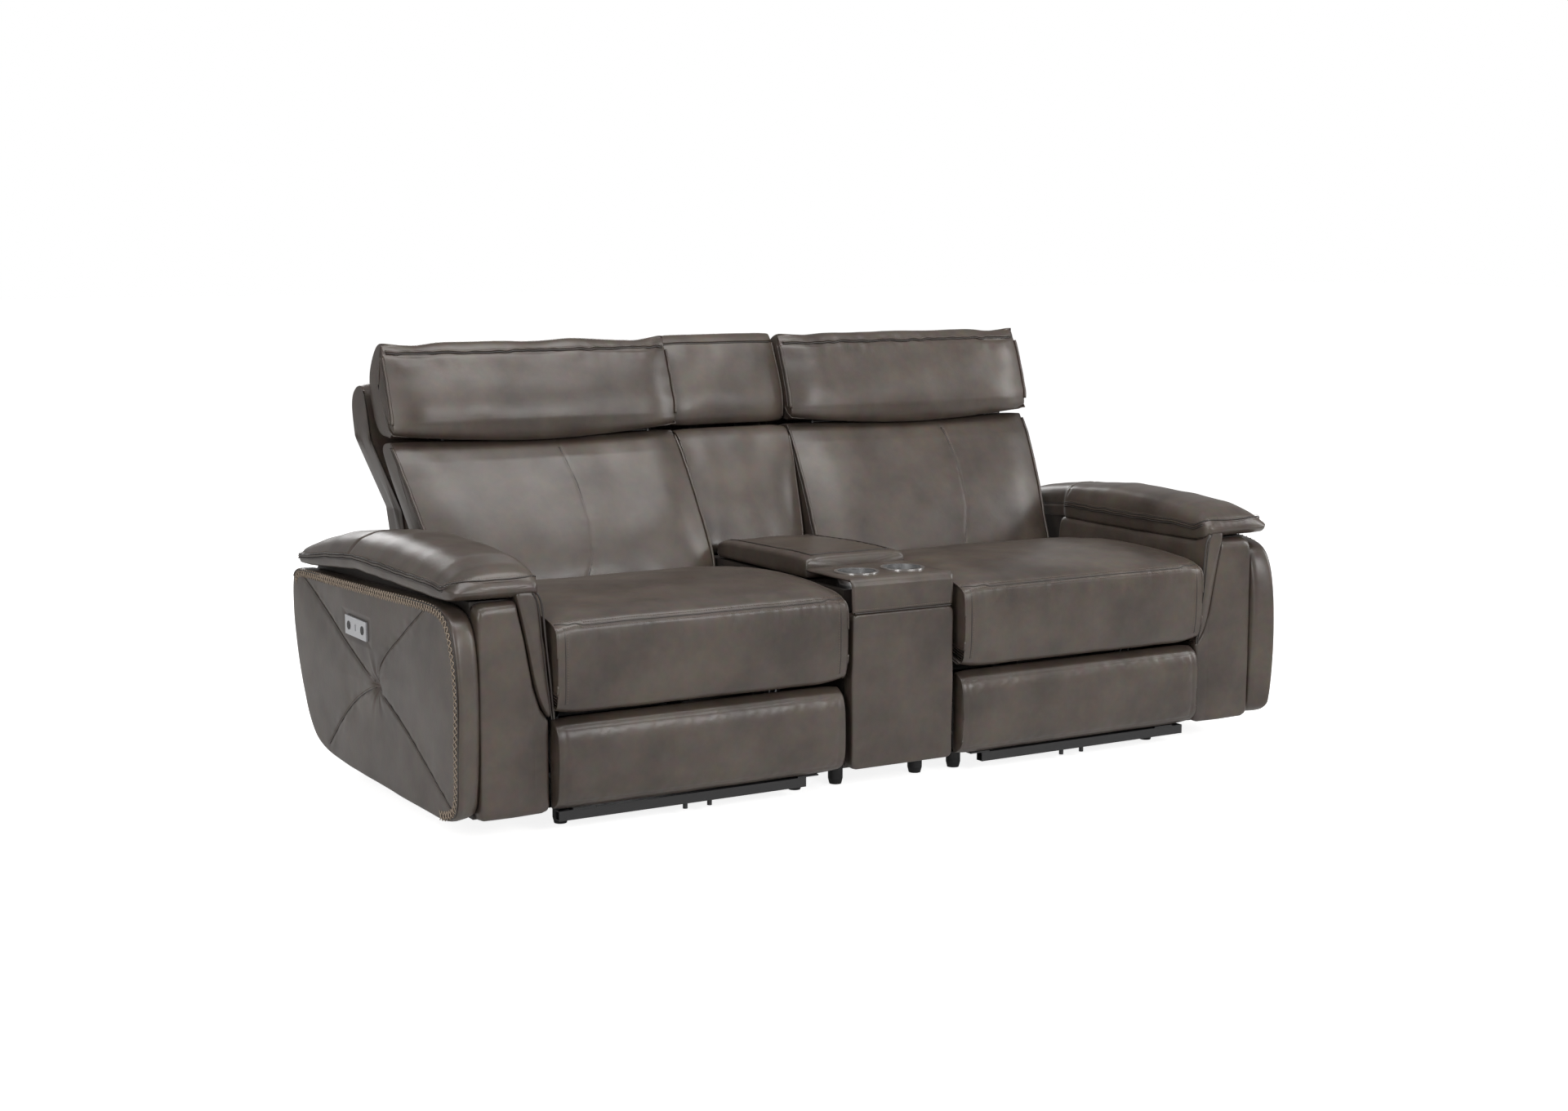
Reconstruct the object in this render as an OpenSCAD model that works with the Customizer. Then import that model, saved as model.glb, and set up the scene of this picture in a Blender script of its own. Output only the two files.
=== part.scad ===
// Power reclining console loveseat: two recliner units, a storage console between them, padded arms.
// The origin is on the floor under the centre of the sofa. +X is to the right seen from the front, -Y is the front.

/* [Overall] */
// Height of the front panels above the floor
floor_gap = 50; // [48:1:54]

/* [Console] */
// Width of the console
console_w = 254; // [248:2:258]
// Height of the console deck
console_deck_z = 457; // [450:1:462]
// Thickness of the console's plywood walls
wall = 14; // [10:1:18]
// Radius of a cup holder's steel well
cup_r = 42; // [38:0.5:43]
// Width of a cup holder's flange around the well
cup_flange = 6; // [4:0.5:8]
// Depth of a cup holder's well
cup_depth = 78; // [60:1:84]
// Distance of a cup's centre from the middle of the console
cup_x = 58; // [55:0.5:60]
// Wall of the pressed steel cup
cup_wall = 1.5; // [1:0.1:2]
// Length of the padded lid
lid_len = 397; // [380:1:400]
// Height of the lid's crown over the floor
lid_top_z = 479; // [470:1:486]

/* [Recliner] */
// Room between the console and a seat cushion
console_room = 20; // [18:0.5:24]
// Width of the seat cushion
seat_w = 658; // [640:2:660]
// Height of the seat cushion's crown over the floor
seat_top_z = 452; // [440:1:462]
// Width of the footrest pad
footrest_w = 654; // [630:2:656]
// Thickness of the footrest pad
footrest_t = 45; // [40:1:48]
// Height of the footrest pad
footrest_h = 183; // [172:1:186]

/* [Mechanism] */
// Distance of a foot from its seat's centre
foot_x = 272; // [268:1:276]
// Distance of the front feet from the middle of the sofa
foot_front = 383; // [370:1:386]
// Radius of a foot
foot_r = 16; // [12:0.5:20]
// Half width of a steel link
link_r = 9; // [7:0.5:9]
// Thickness of a steel link
link_t = 4; // [3:0.5:4.5]
// Radius of the rivets between the links
rivet_r = 4; // [3:0.25:5]
// Running clearance round a rivet
rivet_gap = 0.06; // [0.03:0.01:0.09]
// Length of the swinging links between their rivets
swing_len = 178; // [174:1:180]
// Angle of the swinging links while the footrest is closed
swing_closed = -65; // [-68:1:-64]
// Radius of the footrest's drive shaft
drive_r = 7; // [5:0.5:7.5]
// Wall of the square steel tubes
tube_wall = 2; // [1.5:0.1:3]

/* [Arms] */
// Width of an arm from its inner wall to its padded outer side
arm_w = 203; // [196:1:212]
// Room between a seat cushion and an arm's inner wall
arm_room = 7; // [6:0.5:10]
// Thickness of the padded panel on an arm's outer side
side_pad_t = 50; // [44:1:54]
// Thickness of the arm frame's walls
arm_wall = 15; // [10:1:18]
// Height of the arm pad's crown over the floor
pad_top_z = 568; // [560:1:574]
// Length of a switch plate
switch_l = 124; // [110:1:130]
// Height of a switch plate
switch_h = 40; // [36:1:44]
// Height of a switch plate's centre over the floor
switch_z = 357; // [350:1:366]
// Place of a switch plate's centre along the arm
switch_y = 28; // [20:1:40]
// Radius of a rocker switch
rocker_r = 9; // [8:0.5:10]

/* [Hidden] */

leather = "#574c46";
dark_leather = "#453c38";
black_steel = "#1c1c1e";
zinc = "#8f9296";
ply = "#b99a66";
plastic = "#232325";
silver = "#b9bcc0";

// The width adds up from the middle: console, seat, arm
console_half = console_w / 2;
seat_in = console_half + console_room;
seat_end = seat_in + seat_w;
seat_x = (seat_in + seat_end) / 2;
arm_in = seat_end + arm_room;
sofa_w = 2 * (arm_in + arm_w);
half_w = sofa_w / 2;
arm_out = half_w - side_pad_t;
// Pieces that lie on each other stay this far apart, and pieces that move past each other this far
seat_gap = 0.2;
run_gap = 1;

// Cuts the corners of a closed outline
function rounded(p) =
  [for (i = [0:len(p) - 1]) let (a = p[i], b = p[(i + 1) % len(p)]) each [0.75 * a + 0.25 * b, 0.25 * a + 0.75 * b]];

// Six times the volume inside a set of triangles, negative if they face inwards
function facing(v, f) = [for (t = f) v[t[0]] * cross(v[t[1]], v[t[2]])] * [for (t = f) 1];

// A closed skin through rings of equally many points; c0 and c1 are the middles of the end rings
module skin(rings, c0, c1) {
  m = len(rings);
  n = len(rings[0]);
  points = concat([for (r = rings) each r], [c0, c1]);
  walls = [for (j = [0:m - 2], i = [0:n - 1]) let (k = (i + 1) % n)
    each [[j * n + i, (j + 1) * n + i, (j + 1) * n + k], [j * n + i, (j + 1) * n + k, j * n + k]]];
  caps = [for (i = [0:n - 1]) let (k = (i + 1) % n)
    each [[m * n, i, k], [m * n + 1, (m - 1) * n + k, (m - 1) * n + i]]];
  faces = concat(walls, caps);
  polyhedron(points, facing(points, faces) < 0 ? faces : [for (f = faces) [f[2], f[1], f[0]]]);
}

// Stations of a cushion from 0 to 1 across its width; the second number tells how far an end is drawn in
function ends_drawn(width, reach) =
  let (steps = [0, 0.1, 0.4, 1])
  concat([for (t = steps) [t * reach / width, pow(1 - t, 2)]],
    [for (i = [3:-1:0]) [1 - steps[i] * reach / width, pow(1 - steps[i], 2)]]);

// A cushion with an outline in Y and Z across X, between the lines lo(z) and hi(z).
// Its ends are drawn in around the point eye, which sees the whole outline.
module cushion(outline, eye, lo, hi, reach, draw) {
  width = hi(eye[1]) - lo(eye[1]);
  stations = ends_drawn(width, reach);
  function at(s, q) =
    let (y = eye[0] + (q[0] - eye[0]) * (1 - draw[0] * s[1]), z = eye[1] + (q[1] - eye[1]) * (1 - draw[1] * s[1]))
    [lo(z) + s[0] * (hi(z) - lo(z)), y, z];
  skin([for (s = stations) [for (q = outline) at(s, q)]],
    at(stations[0], eye), at(stations[len(stations) - 1], eye));
}

// A padded panel with an outline in Y and Z that faces along X. A layer is [x, share of the outline].
module panel_x(outline, eye, layers) {
  function at(s, q) = [s[0], eye[0] + (q[0] - eye[0]) * s[1], eye[1] + (q[1] - eye[1]) * s[1]];
  skin([for (s = layers) [for (q = outline) at(s, q)]], at(layers[0], eye), at(layers[len(layers) - 1], eye));
}
// The same with an outline in X and Z, facing along Y
module panel_y(outline, eye, layers) {
  function at(s, q) = [eye[0] + (q[0] - eye[0]) * s[1], s[0], eye[1] + (q[1] - eye[1]) * s[1]];
  skin([for (s = layers) [for (q = outline) at(s, q)]], at(layers[0], eye), at(layers[len(layers) - 1], eye));
}
// A long pad along Y. The outline is in parts of a box, a station is [y, x0, x1, z0, z1].
module pad_y(outline, stations) {
  function at(s, q) = [s[1] + q[0] * (s[2] - s[1]), s[0], s[3] + q[1] * (s[4] - s[3])];
  skin([for (s = stations) [for (q = outline) at(s, q)]],
    at(stations[0], [0.5, 0.4]), at(stations[len(stations) - 1], [0.5, 0.4]));
}

// A flat plate in Y and Z that starts at x
module plate_x(x, t, points) {
  translate([x, 0, 0]) rotate([90, 0, 90]) linear_extrude(t) polygon(points);
}
// A pin or a bore along X
module pin_x(x, length, at, r) {
  translate([x, at[0], at[1]]) rotate([0, 90, 0]) cylinder(r = r, h = length, $fn = 48);
}
// A square steel tube along X
module tube_x(x0, x1, y, z, w, h) {
  difference() {
    translate([x0, y, z]) cube([x1 - x0, w, h]);
    translate([x0 - 1, y + tube_wall, z + tube_wall]) cube([x1 - x0 + 2, w - 2 * tube_wall, h - 2 * tube_wall]);
  }
}
// A flat steel link from a to b
module link(x, a, b, ra = link_r) {
  d = b - a;
  bar_r = link_r - 1.5;
  translate([x, a[0], a[1]]) rotate([atan2(d[1], d[0]), 0, 0]) translate([0, 0, -bar_r])
    cube([link_t, norm(d), 2 * bar_r]);
  pin_x(x, link_t, a, ra);
  pin_x(x, link_t, b, link_r);
}

// Both sides of the right unit's mechanism, drawn for the side away from the console
module both_sides() {
  translate([seat_x, 0, 0]) {
    children();
    mirror([1, 0, 0]) children();
  }
}
// The left unit is the right one mirrored
module unit(side) {
  if (side == "left") mirror([1, 0, 0]) children();
  else children();
}

// Linkage of the footrest in Y and Z while it is closed. The main and rear links swing together and keep
// the carrier link at its angle, and the upper link turns the footrest with them.
main_pivot = [-345, 242];
bracket_pivot = [-420, 170];
swing_dir = [cos(swing_closed), sin(swing_closed)];
main_end = main_pivot + swing_len * swing_dir;
carrier_dir = (bracket_pivot - main_end) / norm(bracket_pivot - main_end);
rear_step = -40 * carrier_dir;
rear_pivot = main_pivot + rear_step;
rear_end = main_end + rear_step;
ear_step = -40 * swing_dir;
main_ear = main_end + ear_step;
bracket_ear = bracket_pivot + ear_step;

// The lower rear of the sofa curves in towards the floor: its line in Y and Z, from the bottom up
rear_line = [[300, floor_gap], [356, 98], [404, 188], [428, 280], [438, 375]];

// Layers across X from the seat's side plate inwards
plate_t = 5;
rail_w = 20;
side_x = foot_x - rail_w / 2 - seat_gap - plate_t;
function layer(i) = side_x - (i + 1) * (run_gap + link_t);

// Feet: the recliners stand on eight, the console on four
foot_h = 45;
foot_rear = 250;
console_foot_x = 102;
console_foot_rear = 262;
module foot(x, y, h) {
  translate([x, y, 0]) cylinder(r1 = foot_r - 3, r2 = foot_r, h = 12, $fn = 48);
  translate([x, y, 12]) cylinder(r = foot_r, h = h - 12, $fn = 48);
}
module feet() {
  color(plastic) {
    for (s = [-1, 1], x = [-foot_x, foot_x], y = [-foot_front, foot_rear]) foot(s * (seat_x + x), y, foot_h - seat_gap);
    for (x = [-console_foot_x, console_foot_x], y = [-foot_front, console_foot_rear]) foot(x, y, floor_gap - seat_gap);
  }
}

// Steel base of a unit: side rails, cross tube, front beam and the brackets to the arm and the console
rail_h = 30;
rail_y = -400;
rail_in = foot_x - rail_w / 2 - seat_gap;
rail_end = foot_x + rail_w / 2 + seat_gap;
beam_y = -465;
module bracket_x(x0, x1, y) {
  translate([x0, y, foot_h + 8]) cube([x1 - x0, 40, 4]);
}
module base_frame(side) {
  color(black_steel) unit(side) {
    both_sides() {
      translate([foot_x - rail_w / 2, rail_y, foot_h]) cube([rail_w, rear_line[0][0] - 24.2 - rail_y, rail_h]);
      translate([foot_x - 40, beam_y, foot_h + seat_gap]) cube([30 + rail_w, rail_y - beam_y - seat_gap, 3]);
    }
    tube_x(seat_x - rail_in, seat_x + rail_in, 220, foot_h, 30, rail_h);
    tube_x(seat_x - foot_x + 20, seat_x + foot_x + 40, beam_y, foot_h - 20, 20, 20);
    for (x = [-28, 28])
      translate([seat_x + x, beam_y + 10, 13]) cylinder(r = 5, h = foot_h - 20 - seat_gap - 13, $fn = 32);
    for (y = [-300, 180]) {
      bracket_x(seat_x + rail_end, arm_in - seat_gap, y);
      bracket_x(console_half + seat_gap, seat_x - rail_end, y);
    }
  }
}

// Steel seat frame: side plates on the base, cross tubes, seat straps, and the stubs the rear links turn on
hinge = [172, 320];
hinge_r = 8;
deck_z = 300;
front_tube_y = -300;
rear_tube_y = 104;
tube_w = 24;
strap_t = 3;
module seat_frame(side) {
  color(black_steel) unit(side) {
    both_sides() {
      difference() {
        union() {
          plate_x(side_x, plate_t,
            [[-362, 226], [-340, 206], [-230, 206], [-210, 50], [-150, 50], [-140, 190], [90, 190], [110, 50], [170, 50],
             [192, 300], [192, 338], [152, 338], [130, deck_z], [-300, deck_z], [-362, 264]]);
          pin_x(layer(0), side_x - layer(0) + 1, rear_pivot, rivet_r);
        }
        pin_x(side_x - 1, plate_t + 2, main_pivot, drive_r + rivet_gap);
        pin_x(side_x - 1, plate_t + 2, hinge, hinge_r + rivet_gap);
      }
    }
    for (y = [front_tube_y, rear_tube_y])
      tube_x(seat_x - side_x + seat_gap, seat_x + side_x - seat_gap, y, deck_z - strap_t - seat_gap - tube_w, tube_w, tube_w);
    for (i = [-2:2])
      translate([seat_x + i * 96 - 20, front_tube_y, deck_z - strap_t]) cube([40, rear_tube_y + tube_w - front_tube_y, strap_t]);
  }
}

// Gear motor clamped round a shaft, bolted under or behind a cross tube
module gear_motor(side, at, x, bore, box, tail) {
  color(plastic) unit(side) translate([seat_x, 0, 0]) difference() {
    union() {
      translate([x - 24, box[0], box[1]]) cube([48, box[2] - box[0], box[3] - box[1]]);
      translate([x + 23, tail[0], tail[1]]) rotate([0, 90, 0]) cylinder(r = 19, h = 92, $fn = 48);
    }
    pin_x(x - 25, 50, at, bore + rivet_gap);
  }
}
module footrest_motor(side) {
  gear_motor(side, main_pivot, 0, drive_r, [-376, 216, front_tube_y - seat_gap, 290], [-322, 268]);
}
module recline_motor(side) {
  gear_motor(side, hinge, 0, hinge_r, [rear_tube_y + tube_w + seat_gap, 262, 198, 346], [152, 284]);
}

// Main links with the drive shaft between them
module main_links(side) {
  color(zinc) unit(side) {
    both_sides() {
      link(layer(0), main_pivot, main_end, 12);
      for (p = [main_end, main_ear]) pin_x(layer(1), link_t + run_gap + 1, p, rivet_r);
    }
    pin_x(seat_x - side_x - plate_t, 2 * (side_x + plate_t), main_pivot, drive_r);
  }
}
module rear_links(side) {
  color(zinc) unit(side) both_sides() {
    difference() {
      link(layer(0), rear_pivot, rear_end);
      pin_x(layer(0) - 1, link_t + 2, rear_pivot, rivet_r + rivet_gap);
    }
    pin_x(layer(1), link_t + run_gap + 1, rear_end, rivet_r);
  }
}
module carrier_links(side) {
  color(zinc) unit(side) both_sides() {
    difference() {
      link(layer(1), rear_end, bracket_pivot);
      for (p = [rear_end, main_end]) pin_x(layer(1) - 1, link_t + 2, p, rivet_r + rivet_gap);
    }
    pin_x(layer(2), link_t + run_gap + 1, bracket_pivot, rivet_r);
  }
}
module upper_links(side) {
  color(zinc) unit(side) both_sides() {
    difference() {
      link(layer(1), main_ear, bracket_ear);
      pin_x(layer(1) - 1, link_t + 2, main_ear, rivet_r + rivet_gap);
    }
    pin_x(layer(2), link_t + run_gap + 1, bracket_ear, rivet_r);
  }
}
// Brackets bolted to the back of the footrest
footrest_back = -455;
module footrest_brackets(side) {
  color(black_steel) unit(side) both_sides() {
    difference() {
      plate_x(layer(2), link_t,
        [[footrest_back + seat_gap, 100], [-444, 100], [-408, 158], [-408, 182], [-424, 222], [footrest_back + seat_gap, 222]]);
      for (p = [bracket_pivot, bracket_ear]) pin_x(layer(2) - 1, link_t + 2, p, rivet_r + rivet_gap);
    }
    translate([layer(2) - 30, footrest_back + seat_gap, 100]) cube([31, 3, 122]);
  }
}
footrest_top = floor_gap + footrest_h;
module footrest_pad(side) {
  outline = rounded([[footrest_back, floor_gap], [footrest_back - 12, floor_gap - 1], [footrest_back - footrest_t, floor_gap + 20],
    [footrest_back - footrest_t - 3, floor_gap + footrest_h / 2], [footrest_back - footrest_t, footrest_top - 20],
    [footrest_back - 12, footrest_top + 1], [footrest_back, footrest_top], [footrest_back, floor_gap + footrest_h / 2]]);
  color(leather) unit(side)
    cushion(outline, [footrest_back - footrest_t / 2, floor_gap + footrest_h / 2],
      function(z) seat_x - footrest_w / 2, function(z) seat_x + footrest_w / 2, 60, [0.16, 0.05]);
}

// Seat cushion: crowned top, rounded front and a deep front skirt that hides the linkage
module seat_cushion(side) {
  outline = rounded([[-446, 242], [-492, 240], [-504, 270], [-507, 350], [-500, 418], [-440, seat_top_z - 8],
    [-240, seat_top_z + 4], [-40, seat_top_z - 16], [49, 420], [62, 360], [44, deck_z + seat_gap],
    [-250, deck_z + seat_gap], [-436, deck_z + seat_gap]]);
  color(leather) unit(side)
    cushion(outline, [-462, 330], function(z) seat_in, function(z) seat_end, 80, [0.01, 0.14]);
}

// Sides of a recliner's back: narrow between the arms, wider above them
back_low_z = 452;
back_high_z = 715;
function between(z, a, b) = a + (b - a) * max(0, min(1, (z - back_low_z) / (back_high_z - back_low_z)));
back_in = function(z) between(z, seat_in - 3, seat_in + 10);
back_out = function(z) between(z, seat_end + 1, seat_end + 42);
head_pivot = [256, 719];
rod_r = 2.5;
sleeve_r = 4.5;

module back_cushion(side) {
  outline = rounded([[60, 396], [66, 430], [132, 556], [196, 656], [230, 704], [242, 713], [256, 714.2], [300, 714.2],
    [314, 708], [326, 690], [222, 500], [160, 380], [112, 366]]);
  color(leather) unit(side) cushion(outline, [170, 520], back_in, back_out, 70, [0.1, 0.04]);
}
module headrest_cushion(side) {
  outline = rounded([[256, 723.8], [246, 723.8], [235, 735], [234, 790], [262, 874], [284, 924], [304, 932], [340, 920],
    [374, 880], [384, 840], [372, 790], [344, 744], [316, 723.8]]);
  color(leather) unit(side) cushion(outline, [308, 830], back_in, back_out, 70, [0.12, 0.05]);
}
// Steel frame inside the back: uprights between cushion and shell, cross tubes, hinge shaft and headrest rod
upright_x = side_x - run_gap - 5;
module back_frame(side) {
  color(black_steel) unit(side) {
    both_sides() plate_x(upright_x, 5,
      [[156, 304], [190, 304], [206, 336], [258, 468], [340, 672], [342, 716], [334, 722], [251, 722], [251, 716],
       [322, 716], [332, 700], [326.6, 689], [222.6, 500], [160.6, 379.6], [154, 340]]);
    pin_x(seat_x - side_x - plate_t, 2 * (side_x + plate_t), hinge, hinge_r);
    pin_x(seat_x - upright_x - 1, 2 * upright_x + 2, head_pivot, rod_r);
    tube_x(seat_x - upright_x - 1, seat_x + upright_x + 1, 206, 410, 18, 18);
    tube_x(seat_x - upright_x - 1, seat_x + upright_x + 1, 300, 606, 18, 18);
  }
}
module headrest_bracket(side) {
  color(zinc) unit(side) difference() {
    union() {
      pin_x(seat_x - 150, 300, head_pivot, sleeve_r);
      plate_x(seat_x - 150, 300, [[258, 720], [302, 720.4], [325.4, 725.6], [340, 735.9], [353, 751.5], [350, 753.4], [337.3, 738.4], [323.2, 728.4],
        [302, 723.4], [256, 723.2]]);
    }
    pin_x(seat_x - 151, 302, head_pivot, rod_r + rivet_gap);
  }
}
// Covered shell behind the cushions. Its sides stay straight up to where they clear the arms in the reclined back.
shell_low_z = 560;
module back_shell(side) {
  outline = rounded([[214, 322], [240, 400], [268, 470], [355, 690], [396, 800], [418, 836], [462, 838], [508.5, 808],
    [503, 750], [440, 610], [372, 440], [300, 322], [250, 304]]);
  color(dark_leather) unit(side)
    cushion(outline, [330, 560], function(z) back_in(z) - 2,
      function(z) seat_end + 2 + 49 * max(0, min(1, (z - shell_low_z) / (back_high_z - shell_low_z))), 60, [0.3, 0.04]);
}
// Fixed cover over the lower rear, between the arm and the console
module rear_panel(side) {
  color(dark_leather) unit(side) {
    front = [for (i = [3:-1:0]) rear_line[i] - [20, -6 + 2 * i]];
    plate_x(console_half + seat_gap, arm_in - console_half - 2 * seat_gap,
      concat([for (i = [0:3]) rear_line[i] - [4, 0]], front));
  }
}

// Hollow plywood arm. Its inner face slopes out under the inner pad, and it is cut low beside the back.
arm_front_y = -455;
arm_rear_y = 440;
arm_top_z = 474;
arm_cut_y = 64;
// Meeting line of the arm frame and the inner pad in X from the inner wall and Z, from the top down
inner_face = [[64, 474], [62, 460], [49, 400], [31, 304], [16, 258], [-5, 228]];
function inner_line(gap) = [for (i = [0:4]) [arm_in + inner_face[i][0] + gap, inner_face[i][1]]];
arm_section = concat([[arm_in, floor_gap], [arm_out, floor_gap], [arm_out, arm_top_z]], inner_line(0.6), [[arm_in, 234.3]]);
low_x = arm_in + 56;
low_z = 364;
arm_low_section = [[arm_in, floor_gap], [arm_out, floor_gap], [arm_out, arm_top_z], [low_x, arm_top_z], [low_x, low_z],
  [arm_in, low_z]];
arm_back_top = [[404, 445.7], [335, 447.7], [204, 459.7], [84, 470.7], [48, arm_top_z]];
module along_y(y0, y1, points) {
  translate([0, y1, 0]) rotate([90, 0, 0]) linear_extrude(y1 - y0) polygon(points);
}
module arm_frame(side) {
  w = arm_wall;
  outside = concat([[arm_front_y, floor_gap]], rear_line, [[426, 424]], arm_back_top, [[arm_front_y, arm_top_z]]);
  inside = concat([[arm_front_y + w, floor_gap + w], [arm_cut_y + 2 * w, floor_gap + w]],
    [for (p = rear_line) p + [-w, p[1] < 90 ? w : 4]], [[408, 412]], [for (p = arm_back_top) p - [0, w]],
    [[arm_front_y + w, arm_top_z - w]]);
  color(dark_leather) unit(side) difference() {
    intersection() {
      plate_x(arm_in - 1, arm_out - arm_in + 2, outside);
      union() {
        along_y(arm_front_y, arm_cut_y, arm_section);
        along_y(arm_cut_y, arm_rear_y, arm_low_section);
      }
    }
    intersection() {
      plate_x(arm_in - 1, arm_out - arm_in + 2, inside);
      union() {
        along_y(arm_front_y + w, arm_cut_y - w, [[arm_in + w, floor_gap + w], [arm_out - w, floor_gap + w],
          [arm_out - w, arm_top_z - w], [arm_in + 65 + w, arm_top_z - w], [arm_in + 30 + w, 288], [arm_in + w, 230]]);
        along_y(arm_cut_y, arm_rear_y - w, [[arm_in + w, floor_gap + w], [arm_out - w, floor_gap + w],
          [arm_out - w, arm_top_z - w], [low_x + w, arm_top_z - w], [low_x + w, low_z - w], [arm_in + w, low_z - w]]);
      }
    }
  }
}
module side_panel(side) {
  outline = rounded([[-508, 250], [-504, 320], [-478, 406], [-440, 448], [-373, 466], [0, 450], [387, 436], [434, 424],
    [452, 375], [438, 280], [409, 190], [352, 98], [280, 54], [140, 46], [-300, 46], [-484, 48], [-500, 120]]);
  color(leather) unit(side)
    panel_x(outline, [-40, 250], [[arm_out + seat_gap, 0.97], [arm_out + 13, 0.995], [half_w - 15, 1], [half_w - 4, 0.97], [half_w, 0.9]]);
}
module arm_front(side) {
  x0 = arm_in;
  x1 = arm_out;
  middle = (x0 + x1) / 2;
  outline = concat([[x0, 60], [x0 + 4, 52], [x0 + 16, 48], [middle, 47], [x1 - 15, 48], [x1 - 4, 53], [x1 - 1, 66], [x1, 260],
    [x1 - 1, 456], [x1 - 5, 468], [x1 - 17, 473]], inner_line(2), [[x0, 232], [x0, 140]]);
  color(leather) unit(side)
    panel_y(outline, [middle, 200], [[arm_front_y - seat_gap, 0.985], [-466, 1], [-474, 0.97], [-477, 0.86]]);
}
// Wedge-shaped pad on the inner side of the arm, from the arm pad down to the footrest
inner_outline = rounded(concat([for (q = [[-5, 228], [0, 290], [12, 382], [16, 440], [20, 470], [38, 474]]) q + [arm_in, 0]],
  inner_line(0)));
module inner_arm_pad(side) {
  color(leather) unit(side)
    panel_y(inner_outline, [arm_in + 26, 380], [[-486, 0.93], [-480, 0.99], [-462, 1], [-200, 1], [48, 1], [arm_cut_y - 2, 0.96]]);
}
module arm_pad(side) {
  outline = rounded([[0, 0.22], [0.01, 0.62], [0.1, 0.92], [0.34, 1], [0.68, 0.97], [0.9, 0.8], [1, 0.5],
    [0.97, 0.16], [0.86, 0], [0.5, 0], [0.14, 0], [0.03, 0.05]]);
  x0 = arm_in + 15;
  x1 = half_w + 1;
  z0 = arm_top_z + 0.3;
  z1 = pad_top_z;
  color(leather) unit(side) pad_y(outline, [
    [-488, x0 + 23, x1 - 20, 492, z1 - 58], [-480, x0 + 9, x1 - 8, 482, z1 - 34], [-446, x0 + 2, x1 - 1, z0 + 2, z1 - 14],
    [-300, x0, x1, z0, z1 - 4], [-109, x0, x1, z0, z1], [48, x0 + 4, x1, z0, z1 - 12],
    [84, x0 + 35, x1 - 1, 471, z1 - 16], [204, x0 + 41, x1 - 1, 460, z1 - 31], [335, x0 + 43, x1 - 1, 448, z1 - 58],
    [404, x0 + 49, x1 - 4, 446, z1 - 78], [430, x0 + 63, x1 - 21, 452, z1 - 94]]);
}

// Switch plate on the outer side of an arm: two rockers and a charging slot between them
plate_x0 = half_w + 0.3;
plate_depth = 4;
rocker_y = 40;
rocker_x = plate_x0 + 2;
module switch_plate(side) {
  color(silver) unit(side) difference() {
    translate([plate_x0, switch_y - switch_l / 2, switch_z - switch_h / 2]) cube([plate_depth, switch_l, switch_h]);
    for (y = [-rocker_y, rocker_y]) {
      pin_x(plate_x0 - 1, plate_depth + 2, [switch_y + y, switch_z], rocker_r + 0.4);
      translate([rocker_x, switch_y + y, switch_z - rocker_r - 3]) cylinder(r = 1 + rivet_gap, h = 2 * rocker_r + 6, $fn = 32);
    }
    translate([plate_x0 + 1.2, switch_y - 3, switch_z - 7]) cube([plate_depth, 6, 14]);
  }
}
module rocker(side, y) {
  color(plastic) unit(side) {
    pin_x(plate_x0 + 0.9, plate_depth, [switch_y + y, switch_z], rocker_r);
    translate([rocker_x, switch_y + y, switch_z - rocker_r - 2.4]) cylinder(r = 1, h = 2 * rocker_r + 4.8, $fn = 32);
  }
}

// Console: plywood box with a bin under the lid, open behind the front panel
box_front_y = -454;
box_top_z = 430;
bin_y0 = -286;
bin_y1 = 92;
bin_z0 = 230;
lid_axis = [104, 446];
lid_axle_r = 3.5;
ear_r = 5.5;
module console_box() {
  w = console_half;
  color(ply) {
    difference() {
      plate_x(-w, 2 * w, concat([[box_front_y, floor_gap]], rear_line, [[rear_line[4][0], box_top_z], [box_front_y, box_top_z]]));
      translate([-w + wall, bin_y0, bin_z0]) cube([2 * w - 2 * wall, bin_y1 - bin_y0, 300]);
      translate([-w + wall, box_front_y + wall, 300]) cube([2 * w - 2 * wall, bin_y0 - 2 * wall - box_front_y, 300]);
      translate([-w + wall, box_front_y + wall, floor_gap + wall])
        cube([2 * w - 2 * wall, 280 - box_front_y - wall, bin_z0 - floor_gap - 2 * wall]);
      translate([-w + wall, bin_y1 + wall, bin_z0])
        cube([2 * w - 2 * wall, 400 - bin_y1 - wall, box_top_z - bin_z0 - wall]);
    }
    for (x = [-76, 70]) difference() {
      plate_x(x, 6, concat([[lid_axis[0] - ear_r, box_top_z - 1]],
        [for (a = [180:-22.5:45]) lid_axis + ear_r * [cos(a), sin(a)]],
        [[lid_axis[0] + ear_r + 3, lid_axis[1]], [lid_axis[0] + ear_r + 6, box_top_z - 1]]));
      pin_x(x - 1, 8, lid_axis, lid_axle_r + rivet_gap);
    }
  }
}
module console_front() {
  h = console_half;
  corner = [for (a = [0:30:90]) 12 * [cos(a), sin(a)]];
  top = [for (c = corner) [h - 12, 371] + c];
  bottom = [for (i = [3:-1:0]) [h - 12 + corner[i][0], 64 - corner[i][1]]];
  right = concat(bottom, [[h + 1, 220]], top);
  outline = concat(right, [for (i = [len(right) - 1:-1:0]) [-right[i][0], right[i][1]]]);
  color(leather) panel_y(outline, [0, 218], [[box_front_y - seat_gap, 0.985], [-478, 1], [-487, 0.975], [-491, 0.88]]);
}
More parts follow.
